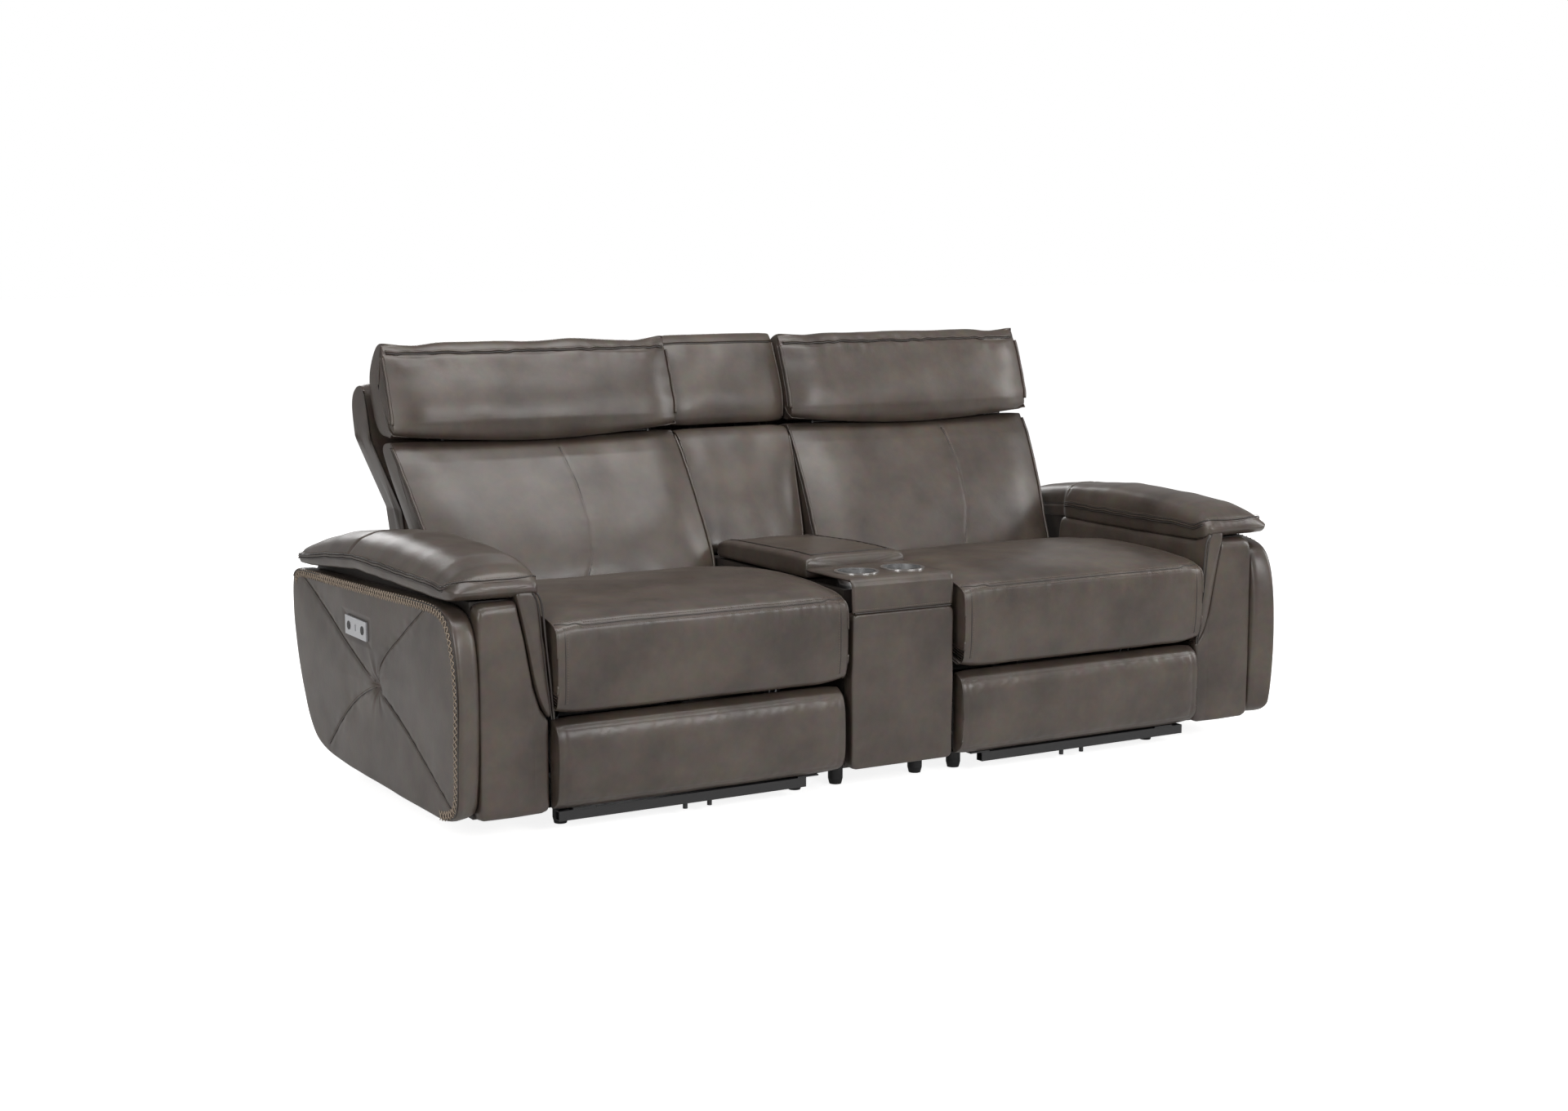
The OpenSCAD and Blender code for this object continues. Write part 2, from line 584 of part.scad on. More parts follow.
// Leather cover of the deck, down over the upper front
module console_deck() {
  z = console_deck_z;
  difference() {
    color(leather) plate_x(-console_half, console_w,
      [[-489, 386], [-490, 430], [-486, z - 10], [-476, z], [-301, z], [-301, box_top_z + seat_gap],
       [box_front_y - seat_gap, box_top_z + seat_gap], [box_front_y - seat_gap, 386]]);
    for (x = [-cup_x, cup_x]) translate([x, -395, box_top_z - 5]) cylinder(r = cup_r + 0.3, h = 60, $fn = 72);
  }
}
module cup_holders() {
  z = console_deck_z;
  color(silver) for (x = [-cup_x, cup_x]) translate([x, -395, 0]) difference() {
    union() {
      translate([0, 0, z + seat_gap]) cylinder(r = cup_r + cup_flange, h = 2, $fn = 72);
      translate([0, 0, z + 2 - cup_depth]) cylinder(r = cup_r, h = cup_depth - 1, $fn = 72);
    }
    translate([0, 0, z + 2 - cup_depth + cup_wall]) cylinder(r = cup_r - cup_wall, h = cup_depth + 2, $fn = 72);
  }
}
lid_z0 = 434;
module console_lid() {
  h = console_half;
  y1 = lid_axis[0] - 6;
  y0 = y1 - lid_len;
  outline = rounded([[0, 0.1], [0, 0.5], [0.08, 0.86], [0.3, 0.99], [0.5, 1.01], [0.7, 0.99], [0.92, 0.86], [1, 0.5],
    [1, 0.1], [0.9, 0], [0.5, 0], [0.1, 0]]);
  z1 = lid_top_z;
  color(leather) {
    pad_y(outline, [[y0, 3 - h, h - 3, lid_z0 + 3, z1 - 20], [y0 + 8, -h, h, lid_z0, z1 - 12],
      [y0 + 70, -h, h, lid_z0, z1], [y0 + 240, -h, h, lid_z0, z1], [y1 - 60, -h, h, lid_z0, z1 - 3],
      [y1 - 6, -h, h, lid_z0, z1 - 9], [y1, 3 - h, h - 3, lid_z0 + 2, z1 - 14]]);
  }
  color(black_steel) {
    for (x = [-66, 36]) translate([x, y1 - 8, lid_axis[1] - 3]) cube([30, 14, 6]);
    pin_x(-80, 160, lid_axis, lid_axle_r);
  }
}
// Console back: plywood upright, lower cushion, headrest and shell, all fixed
console_side = function(z) between(z, 127, 149);
module console_back_frame() {
  color(ply) for (x = [-70, 52]) plate_x(x, 18,
    [[224, box_top_z + seat_gap], [286, box_top_z + seat_gap], [298, 500], [368, 690], [401, 790], [381, 790],
     [364.6, 769.6], [354.1, 753.7], [349.1, 741.5], [346, 739], [330, 696], [226, 500], [214, 478]]);
}
module console_back_cushion() {
  outline = rounded([[128, 442], [134, 470], [170, 560], [226, 676], [256, 712], [288, 716], [328, 696],
    [224, 500], [200, 452], [176, box_top_z + seat_gap], [146, box_top_z + seat_gap]]);
  color(leather) cushion(outline, [196, 540], function(z) -console_side(z), console_side, 50, [0.1, 0.03]);
}
module console_headrest() {
  outline = rounded([[290, 720], [262, 726], [262, 780], [298, 870], [330, 928], [356, 934], [388, 906],
    [398, 850], [388, 800], [356, 760], [346, 736]]);
  color(leather) cushion(outline, [330, 820], function(z) -console_side(z), console_side, 50, [0.12, 0.06]);
}
module console_back_shell() {
  outline = rounded([[290, box_top_z + seat_gap], [300, 500], [370, 690], [404, 790], [424, 834], [462, 838], [504, 806],
    [500, 750], [440, 610], [380, 470], [340, box_top_z + seat_gap]]);
  color(dark_leather) cushion(outline, [350, 560], function(z) -console_side(z), console_side, 40, [0.25, 0.03]);
}

feet();
base_frame("left");  // left_base_frame
seat_frame("left");  // left_seat_frame
seat_cushion("left");  // left_seat_cushion
footrest_motor("left");  // left_footrest_motor
recline_motor("left");  // left_recline_motor
main_links("left");  // left_main_links
rear_links("left");  // left_rear_links
carrier_links("left");  // left_carrier_links
upper_links("left");  // left_upper_links
footrest_brackets("left");  // left_footrest_brackets
footrest_pad("left");  // left_footrest_pad
back_frame("left");  // left_back_frame
back_shell("left");  // left_back_shell
back_cushion("left");  // left_back_cushion
headrest_bracket("left");  // left_headrest_bracket
headrest_cushion("left");  // left_headrest_cushion
arm_frame("left");  // left_arm_frame
side_panel("left");  // left_side_panel
arm_front("left");  // left_arm_front
inner_arm_pad("left");  // left_inner_arm_pad
arm_pad("left");  // left_arm_pad
switch_plate("left");  // left_switch_plate
rocker("left", -rocker_y);  // left_recline_rocker
rocker("left", rocker_y);  // left_headrest_rocker
rear_panel("left");  // left_rear_panel
base_frame("right");  // right_base_frame
seat_frame("right");  // right_seat_frame
seat_cushion("right");  // right_seat_cushion
footrest_motor("right");  // right_footrest_motor
recline_motor("right");  // right_recline_motor
main_links("right");  // right_main_links
rear_links("right");  // right_rear_links
carrier_links("right");  // right_carrier_links
upper_links("right");  // right_upper_links
footrest_brackets("right");  // right_footrest_brackets
footrest_pad("right");  // right_footrest_pad
back_frame("right");  // right_back_frame
back_shell("right");  // right_back_shell
back_cushion("right");  // right_back_cushion
headrest_bracket("right");  // right_headrest_bracket
headrest_cushion("right");  // right_headrest_cushion
arm_frame("right");  // right_arm_frame
side_panel("right");  // right_side_panel
arm_front("right");  // right_arm_front
inner_arm_pad("right");  // right_inner_arm_pad
arm_pad("right");  // right_arm_pad
switch_plate("right");  // right_switch_plate
rocker("right", -rocker_y);  // right_recline_rocker
rocker("right", rocker_y);  // right_headrest_rocker
rear_panel("right");  // right_rear_panel
console_box();
console_front();
console_deck();
cup_holders();
console_lid();
console_back_frame();
console_back_shell();
console_back_cushion();
console_headrest();
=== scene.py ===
# Looks of the power reclining loveseat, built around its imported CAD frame. Pieces are worked out in
# millimetres and put into meshes in metres, and the camera and the studio are in metres. Seen from the
# front, -x is the left and -y the front.
import math

import bpy
import numpy as np
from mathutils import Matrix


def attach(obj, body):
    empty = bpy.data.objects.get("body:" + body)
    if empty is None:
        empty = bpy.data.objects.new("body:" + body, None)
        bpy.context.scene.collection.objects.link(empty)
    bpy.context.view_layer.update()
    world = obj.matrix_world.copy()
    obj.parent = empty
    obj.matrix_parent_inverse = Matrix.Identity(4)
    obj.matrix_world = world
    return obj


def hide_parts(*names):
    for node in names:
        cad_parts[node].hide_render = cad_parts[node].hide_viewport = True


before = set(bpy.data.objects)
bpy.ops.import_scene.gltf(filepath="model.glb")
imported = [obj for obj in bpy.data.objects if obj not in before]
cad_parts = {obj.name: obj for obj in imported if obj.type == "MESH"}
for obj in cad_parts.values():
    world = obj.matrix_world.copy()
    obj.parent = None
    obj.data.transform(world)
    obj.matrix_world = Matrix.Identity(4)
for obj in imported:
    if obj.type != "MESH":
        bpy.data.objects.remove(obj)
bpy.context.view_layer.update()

# Camera: the photograph's viewpoint, found from the mirrored feet, cup wells and seat corners. Place in
# metres. Yaw turns from +Y towards +X, and pitch looks down.
CAMERA_PLACE = (-2.578, -4.381, 1.158)
CAMERA_LENS = 51.56
CAMERA_YAW = math.radians(30.431)
CAMERA_PITCH = math.radians(8.051)
scene = bpy.context.scene
camera_data = bpy.data.cameras.new("camera")
camera_data.sensor_width = 36.0
camera_data.lens = CAMERA_LENS
camera = bpy.data.objects.new("camera", camera_data)
camera.location = CAMERA_PLACE
camera.rotation_euler = (math.pi / 2 - CAMERA_PITCH, 0, -CAMERA_YAW)
scene.collection.objects.link(camera)
scene.camera = camera

# Studio: a white surround, soft panels above and around, and a floor that the camera sees as white. The
# floor's own glow leaves the shadow under the feet a little darker than the rest.
WHITE = (1, 1, 1, 1)
WORLD_TINT = (1.0, 0.99, 0.98, 1)
WORLD_LIGHT = 0.26
GLOSS_SHARE = 0.22
FLOOR_GLOW = 0.87
FLOOR_GREY = (0.62, 0.61, 0.6, 1)
FLOOR_REACH = 40
PANELS = (
    ("top", (-0.2, -1.0, 3.3), (0, 0.0, 0.5), (3.6, 1.6), 92),
    ("left", (-3.9, -2.9, 2.1), (-0.2, 0, 0.5), (1.2, 2.0), 74),
    ("front", (1.2, -4.6, 2.2), (0.2, 0, 0.45), (2.0, 1.2), 84),
    ("right", (4.0, -1.6, 1.9), (0, 0, 0.5), (1.4, 2.2), 60),
    ("rear", (0.6, 4.2, 2.3), (0, 0, 0.5), (3.0, 1.4), 70),
)


def feed(tree, node, inputs):
    """Gives a node's inputs, by name or number, what they take: a link from a socket, or a constant."""
    for key, value in inputs.items():
        if isinstance(value, bpy.types.NodeSocket):
            tree.links.new(value, node.inputs[key])
        else:
            node.inputs[key].default_value = value


def add_node(tree, kind, inputs, **settings):
    """A new shader node with its settings and inputs. Returns its outputs."""
    node = tree.nodes.new("ShaderNode" + kind)
    for key, value in settings.items():
        setattr(node, key, value)
    feed(tree, node, inputs)
    return node.outputs


def surround_rays(tree):
    """How much of the white surround a ray sees: the largest of camera, glossy times GLOSS_SHARE, and
    transmission."""
    path = add_node(tree, "LightPath", {})
    share = add_node(tree, "Math", {0: path["Is Glossy Ray"], 1: GLOSS_SHARE}, operation="MULTIPLY")[0]
    for ray in ("Is Camera Ray", "Is Transmission Ray"):
        share = add_node(tree, "Math", {0: share, 1: path[ray]}, operation="MAXIMUM")[0]
    return share


def panel_light(name, place, aim, size, watts):
    """A soft rectangular light at a place, turned to a point; both in metres. Its pitch and heading come
    from the step between the two."""
    data = bpy.data.lights.new(name, "AREA")
    data.shape = "RECTANGLE"
    data.size, data.size_y = size
    data.energy = watts
    light = bpy.data.objects.new(name, data)
    light.location = place
    step = np.array(aim, float) - np.array(place, float)
    level = math.hypot(step[0], step[1])
    light.rotation_euler = (math.atan2(level, -step[2]), 0, math.atan2(step[1], step[0]) - math.pi / 2)
    scene.collection.objects.link(light)


scene.view_settings.view_transform = "Standard"
scene.view_settings.look = "None"
world = bpy.data.worlds.new("studio")
scene.world = world
world.use_nodes = True
sky = world.node_tree
sky.nodes.clear()
sky_light = add_node(sky, "Background", {"Color": WORLD_TINT, "Strength": WORLD_LIGHT})[0]
sky_seen = add_node(sky, "Background", {"Color": WHITE, "Strength": 1.0})[0]
sky_mix = add_node(sky, "MixShader", {0: surround_rays(sky), 1: sky_light, 2: sky_seen})[0]
add_node(sky, "OutputWorld", {"Surface": sky_mix})

for panel in PANELS:
    panel_light(*panel)

floor_mesh = bpy.data.meshes.new("studio_floor")
floor_corners = [(FLOOR_REACH * a, FLOOR_REACH * b, 0) for a, b in ((-1, -1), (1, -1), (1, 1), (-1, 1))]
floor_mesh.from_pydata(floor_corners, [], [(0, 1, 2, 3)])
floor = bpy.data.objects.new("studio_floor", floor_mesh)
scene.collection.objects.link(floor)
floor_material = bpy.data.materials.new("studio_floor")
floor_material.use_nodes = True
ground = floor_material.node_tree
ground.nodes.clear()
floor_grey = add_node(ground, "BsdfDiffuse", {"Color": FLOOR_GREY})[0]
floor_glow = add_node(ground, "Math", {0: surround_rays(ground), 1: FLOOR_GLOW}, operation="MULTIPLY")[0]
floor_seen = add_node(ground, "Emission", {"Color": WHITE, "Strength": floor_glow})[0]
floor_sum = add_node(ground, "AddShader", {0: floor_grey, 1: floor_seen})[0]
add_node(ground, "OutputMaterial", {"Surface": floor_sum})
floor_mesh.materials.append(floor_material)

# Frames, linkages, motors, feet and boxes: the imported nodes, which keep their shapes. The frames are
# welded steel coated black, the links zinc-plated plates on rivets, the feet and motors moulded. Boxes
# and rear panels are wrapped in the darker trim hide, which also makes the thin dark cords in seams and
# grooves further on: painted shade.
TRIM_AND_SHADE_COLOURS = ((0.016, 0.012, 0.010), (0.026, 0.020, 0.017), (0.036, 0.029, 0.024))
CLOUD_STOPS = (0.33, 0.5, 0.68)
SPECK_SHARE = 0.26
HIDE_SHINE = 0.52
PEBBLE_SHARE = 0.22


def new_material(name):
    """A material with its node tree, its shader and the object's own coordinates."""
    material = bpy.data.materials.new(name)
    material.use_nodes = True
    tree = material.node_tree
    return material, tree, tree.nodes["Principled BSDF"], add_node(tree, "TexCoord", {})["Object"]


def add_noise(tree, place, scale, detail, roughness=0.5):
    """A noise texture's outputs, worked out at a place."""
    inputs = {"Vector": place, "Scale": scale, "Detail": detail, "Roughness": roughness}
    return add_node(tree, "TexNoise", inputs)


def finish_surface(tree, shader, colour, specular, sheen, rough, height, bump, depth):
    """Sets a shader's colour and shine: roughness runs between the two values of rough as sheen goes
    from 0 to 1, and the bump comes from a height."""
    gloss = add_node(tree, "MapRange", {"Value": sheen, "To Min": rough[0], "To Max": rough[1]})[0]
    grain = add_node(tree, "Bump", {"Height": height, "Strength": bump, "Distance": depth})[0]
    feed(tree, shader, {"Base Color": colour, "Specular IOR Level": specular})
    feed(tree, shader, {"Roughness": gloss, "Normal": grain})


def add_ramp(tree, noise, colours, places):
    """Linear colours laid out at places from 0 to 1, and picked by a noise."""
    node = tree.nodes.new("ShaderNodeValToRGB")
    stops = node.color_ramp.elements
    for _ in colours[2:]:
        stops.new(1.0)
    for stop, place, colour in zip(stops, places, colours):
        stop.position = place
        stop.color = (*colour, 1)
    tree.links.new(noise, node.inputs[0])
    return node.outputs[0]


def leather_material(name, colours, rough=0.33, seed=0.0, bump=0.30):
    """Semi-gloss leather. Clouds of noise run through the three linear colours at CLOUD_STOPS, specks
    overlay them, and the height is the pebble's cells times PEBBLE_SHARE plus creases. seed shifts it,
    so no two hides match."""
    material, tree, shader, coords = new_material(name)
    place = add_node(tree, "Mapping", {0: coords, "Location": (seed, seed * 1.7, -seed)})[0]
    clouds = add_ramp(tree, add_noise(tree, place, 7.0, 6.0, 0.6)["Fac"], colours, CLOUD_STOPS)
    specks = add_noise(tree, place, 46.0, 3.0, 0.6)["Color"]
    tint = {"Factor": SPECK_SHARE, 6: clouds, 7: specks}
    colour = add_node(tree, "Mix", tint, data_type="RGBA", blend_type="OVERLAY")[2]
    pebble = add_node(tree, "TexVoronoi", {"Vector": place, "Scale": 520.0}, feature="DISTANCE_TO_EDGE")[0]
    creases = add_noise(tree, place, 95.0, 5.0, 0.62)["Fac"]
    height = add_node(tree, "Math", {0: pebble, 1: PEBBLE_SHARE, 2: creases}, operation="MULTIPLY_ADD")[0]
    sheen = add_noise(tree, place, 9.0, 3.0)["Fac"]
    rough_range = (rough - 0.05, rough + 0.13)
    finish_surface(tree, shader, colour, HIDE_SHINE, sheen, rough_range, height, bump, 0.0006)
    return material


def plain_material(name, colour, rough, metallic=0.0, wear=0.06, scale=60.0, bump=0.1, specular=0.5):
    """Metal, plastic or thread: a colour that noise takes down and up by twice wear, with uneven gloss
    and a fine bump."""
    material, tree, shader, coords = new_material(name)
    noise = add_noise(tree, coords, scale, 5.0)["Fac"]
    colours = [[min(1.0, c * gain) for c in colour] for gain in (1 - 2 * wear, 1 + 2 * wear)]
    clouds = add_ramp(tree, noise, colours, (0.0, 1.0))
    feed(tree, shader, {"Metallic": metallic})
    rough_range = (max(0.02, rough - 0.07), rough + 0.07)
    finish_surface(tree, shader, clouds, specular, noise, rough_range, noise, bump, 0.0005)
    return material


# The trim hide is the boxes' darker leather, and also the painted shade of the cords in seams and grooves
trim_and_shade_hide = leather_material("leather_trim_and_shade", TRIM_AND_SHADE_COLOURS, rough=0.45, seed=7.7, bump=0.25)
black_steel = plain_material("black_steel", (0.012, 0.012, 0.013), 0.42, bump=0.15, scale=220.0)
zinc = plain_material("zinc", (0.42, 0.43, 0.45), 0.38, metallic=1.0, scale=120.0)
black_plastic = plain_material("black_plastic", (0.016, 0.016, 0.017), 0.5, bump=0.25, scale=420.0)
silver_paint = plain_material("silver_paint", (0.52, 0.53, 0.55), 0.32, metallic=0.55, scale=300.0)
cup_metal = plain_material("cup_metal", (0.72, 0.72, 0.72), 0.24, metallic=1.0, scale=40.0, bump=0.05)
FINISHES = (
    (black_steel, ("base_frame", "seat_frame", "footrest_brackets", "back_frame")),
    (zinc, ("main_links", "rear_links", "carrier_links", "upper_links", "headrest_bracket")),
    (black_plastic, ("feet", "footrest_motor", "recline_motor", "recline_rocker", "headrest_rocker")),
    (silver_paint, ("switch_plate",)),
    (cup_metal, ("cup_holders",)),
)
node_finish = {name: finish for finish, names in FINISHES for name in names}
for node_name, node_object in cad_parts.items():
    unit_name = node_name.partition("_")[2]
    node_object.data.materials.clear()
    node_object.data.materials.append(node_finish.get(unit_name) or node_finish.get(node_name) or trim_and_shade_hide)

# Seat cushions: foam under sewn leather, resting on the seat frame's straps. The cover has a double seam
# along its front edge, a skirt below that, and a gusset with a welt at each side.
MM = 0.001
SIDES = (("left", -1, 0), ("right", 1, 30))
HIDE_COLOURS = ((0.034, 0.025, 0.0195), (0.052, 0.039, 0.031), (0.068, 0.053, 0.041))
hides = {}
for hide_name, hide_seed in (("left", 3.1), ("right", 11.4), ("console", 19.7)):
    hides[hide_name] = leather_material(f"leather_{hide_name}", HIDE_COLOURS, seed=hide_seed)
thread = plain_material("thread", (0.15, 0.12, 0.098), 0.7, scale=900.0, bump=0.4, specular=0.2)
SEAT_IN = 147.0
SEAT_OUT = 805.0
SEAT_FRONT = -470
SEAT_EYE = (-462, 330)
SEAM_Z = 420.0
SEAT_SECTION = [(-446, 242), (-492, 240), (-504, 268), (-507, 345), (-506, 400), (-500, 421),
                (-482, 431), (-436, 443), (-240, 457), (-40, 436), (49, 420), (62, 360), (44, 300.2),
                (-250, 300.2), (-436, 300.2)]


def smooth_line(points, count, closed=True):
    """A smooth line along control points, as count points at equal steps. Each control point bends one
    quadratic arc, which runs between the middles of its two legs."""
    p = np.asarray(points, float)
    t = np.linspace(0, 1, 24, endpoint=False)[:, None]
    arcs = []
    for i in range(len(p)):
        first = (p[i - 1] + p[i]) / 2
        last = (p[i] + p[(i + 1) % len(p)]) / 2
        if not closed and i == 0:
            arcs.append(p[i] + t * (last - p[i]))
        elif not closed and i == len(p) - 1:
            arcs += [first + t * (p[i] - first), p[i:i + 1]]
        else:
            arcs.append((1 - t) ** 2 * first + 2 * t * (1 - t) * p[i] + t ** 2 * last)
    if closed:
        arcs.append(arcs[0][:1])
    q = np.concatenate(arcs)
    run = np.r_[0, np.cumsum(np.linalg.norm(np.diff(q, axis=0), axis=1))]
    s = np.linspace(0, run[-1], count, endpoint=not closed)
    return np.column_stack([np.interp(s, run, q[:, i]) for i in range(q.shape[1])])


def grid_normals(grid):
    """Unit normals of a grid of points whose columns close: the cross product of its two directions,
    turned to point out of the body."""
    n = np.cross(np.gradient(grid, axis=0), np.roll(grid, -1, axis=1) - np.roll(grid, 1, axis=1))
    n /= np.linalg.norm(n, axis=2, keepdims=True) + 1e-9
    return n if (n * (grid - grid.mean(axis=(0, 1)))).sum() > 0 else -n


def ripples(p, length, seed):
    """Smooth noise of about -1 to 1 at points p: the sum of nine sine waves about length long, each in
    its own direction."""
    rng = np.random.default_rng(seed)
    total = np.zeros(p.shape[:-1])
    for _ in range(9):
        d = rng.normal(size=p.shape[-1])
        d /= np.linalg.norm(d)
        total += np.sin(2 * np.pi * (p @ d) / (length * rng.uniform(0.7, 1.5)) + rng.uniform(0, 6.28))
    return total / math.sqrt(9) / 1.4


def waves(a, b, length, seed):
    """Ripples over two measures only. A measure that is scaled up has shorter waves along it."""
    return ripples(np.stack([a, b], axis=-1), length, seed)


def dent(distance, width):
    """A bell: 1 on a seam, falling to 0 within about its width."""
    return np.exp(-(distance / width) ** 2)


def ramp(distance, span):
    """0 up to distance 0, then straight up to 1 over the span."""
    return np.clip(distance / span, 0, 1)


def facing(n, axis, gain):
    """How far normals look along an axis: their part on it times gain, kept from 0 to 1."""
    return np.clip(n[..., axis] * gain, 0, 1)


def from_sides(v, width):
    """Distance of each ring from the nearer side, where v runs from 0 to 1 over the width."""
    return np.minimum(v, 1 - v)[:, None] * width


def off_middle(v):
    """How far each ring is from the middle of the width: 0 there and 1 at both ends."""
    return np.abs(2 * v[:, None] - 1)


def mirrored(grid, sign):
    """A copy of a grid with x times sign."""
    return grid * np.array([sign, 1, 1])


def upright(value):
    """A side of a cushion that stands upright: the same x at each height."""
    return lambda z: np.zeros_like(np.asarray(z, float)) + value


def sweep(section, eye, lo, hi, reach, draw, gusset, rows):
    """A section in Y and Z swept from x = lo(z) to hi(z), with draw pulling its ends towards the eye
    over the reach. Each end closes with a gusset that bulges, where the section shrinks along a sine.
    Returns the grid, and for each ring its place across the width, from 0 to 1."""
    width = hi(eye[1]) - lo(eye[1])
    t = np.linspace(0, 1, rows)
    caps = (np.sin(np.linspace(0.05, 0.5, 9) * np.pi) ** 0.8)[:-1]
    bulge = gusset * (1 - caps ** 2.5)
    v = np.r_[0 * caps, t - 0.035 * np.sin(2 * np.pi * t), 0 * caps + 1]
    share = np.r_[caps, np.ones(rows), caps[::-1]][:, None, None]
    out = np.r_[-bulge, np.zeros(rows), bulge[::-1]][:, None]
    near = np.maximum(0.0, 1 - from_sides(v, width) / reach)[..., None]
    q = np.array(eye) + (section - eye) * (1 - np.array(draw) * near ** 2.2) * share
    x = lo(q[..., 1]) + v[:, None] * (hi(q[..., 1]) - lo(q[..., 1])) + out
    return np.concatenate([x[..., None], q], axis=2), v


def grid_faces(m, n):
    """Quads of a grid of m rows whose n columns close."""
    i = np.arange(m - 1)[:, None] * n
    j = np.arange(n)[None, :]
    k = (j + 1) % n
    return np.stack([i + j, i + k, i + n + k, i + n + j], axis=-1).reshape(-1, 4).tolist()


def add_mesh(name, verts, faces, material, body):
    """A piece in the frame's own axes that rides on a body; verts in mm."""
    mesh = bpy.data.meshes.new(name)
    mesh.from_pydata((np.asarray(verts, float) * MM).tolist(), [], faces)
    mesh.materials.append(material)
    mesh.polygons.foreach_set("use_smooth", [True] * len(mesh.polygons))
    mesh.update()
    piece = bpy.data.objects.new(name, mesh)
    scene.collection.objects.link(piece)
    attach(piece, body)
    return piece


def add_cover(name, grid, hide, body, node):
    """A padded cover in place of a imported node: a grid of points, its ends closed by fans round their
    mean points. The faces turn round if the volume that they close comes out negative."""
    m, n = grid.shape[:2]
    verts = np.vstack([grid.reshape(-1, 3), grid[0].mean(axis=0), grid[-1].mean(axis=0)])
    faces = grid_faces(m, n)
    faces += [[m * n, (j + 1) % n, j] for j in range(n)]
    faces += [[m * n + 1, (m - 1) * n + j, (m - 1) * n + (j + 1) % n] for j in range(n)]
    a, b, c = np.array([f[:3] for f in faces]).T
    if np.einsum("ij,ij->i", verts[a], np.cross(verts[b], verts[c])).sum() < 0:
        faces = [f[::-1] for f in faces]
    piece = add_mesh(name, verts, faces, hide, body)
    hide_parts(node)


def tube(path, radius, sides=8):
    """Vertices and faces of a round cord along a path, ringed by radius times cos and sin; radius may
    vary."""
    path = np.asarray(path, float)
    step = np.gradient(path, axis=0)
    step /= np.linalg.norm(step, axis=1, keepdims=True) + 1e-9
    a = np.cross(step, np.array([0.31, 0.52, 0.79]))
    a /= np.linalg.norm(a, axis=1, keepdims=True) + 1e-9
    b = np.cross(step, a)
    turn = np.linspace(0, 2 * np.pi, sides, endpoint=False)[None, :, None]
    r = np.broadcast_to(np.asarray(radius, float), (len(path),))[:, None, None]
    ring = path[:, None] + r * (np.cos(turn) * a[:, None] + np.sin(turn) * b[:, None])
    faces = grid_faces(len(path), sides)
    faces += [list(range(sides))[::-1], list(range((len(path) - 1) * sides, len(path) * sides))]
    return ring.reshape(-1, 3), faces


def add_parts(name, parts, material, body):
    """Several small meshes as one piece, each with its faces counted on from the one before."""
    starts = np.cumsum([0] + [len(verts) for verts, _ in parts]).tolist()
    faces = [[i + start for i in face] for (_, part), start in zip(parts, starts) for face in part]
    add_mesh(name, np.vstack([verts for verts, _ in parts]), faces, material, body)


def relax(line, times):
    """A line with its inner points moved, times over, to the mean of themselves and their two
    neighbours."""
    line = np.array(line, float)
    for _ in range(times):
        line[1:-1] = (line[:-2] + line[1:-1] + line[2:]) / 3
    return line


def seam_shade_cord(line, radius=0.9):
    """A thin dark cord sunk into a seam: painted shade along its crease."""
    return tube(relax(line, 3), radius, sides=6)


def stitches(path, pitch=5.2, length=3.4, radius=0.55):
    """Short threads laid end to end along a path, thinner at both ends."""
    path = np.asarray(path, float)
    run = np.r_[0, np.cumsum(np.linalg.norm(np.diff(path, axis=0), axis=1))]
    parts = []
    for s in np.arange(pitch / 2, run[-1] - pitch / 2, pitch):
        ends = [s - length / 2, s, s + length / 2]
        points = np.column_stack([np.interp(ends, run, path[:, i]) for i in range(3)])
        parts.append(tube(points, [radius * 0.6, radius, radius * 0.6], sides=5))
    return parts


def across(grid, height, barred, end):
    """Indices of the line that crosses a grid at a height: in each ring but the first and last end ones,
    the point that lies nearest to it and isn't barred. The height may differ from ring to ring."""
    rows = np.arange(end, len(grid) - end)
    goal = np.broadcast_to(height, len(grid))[rows, None]
    return rows, np.argmin(np.abs(grid[rows, :, 2] - goal) + 1e4 * barred[rows], axis=1)


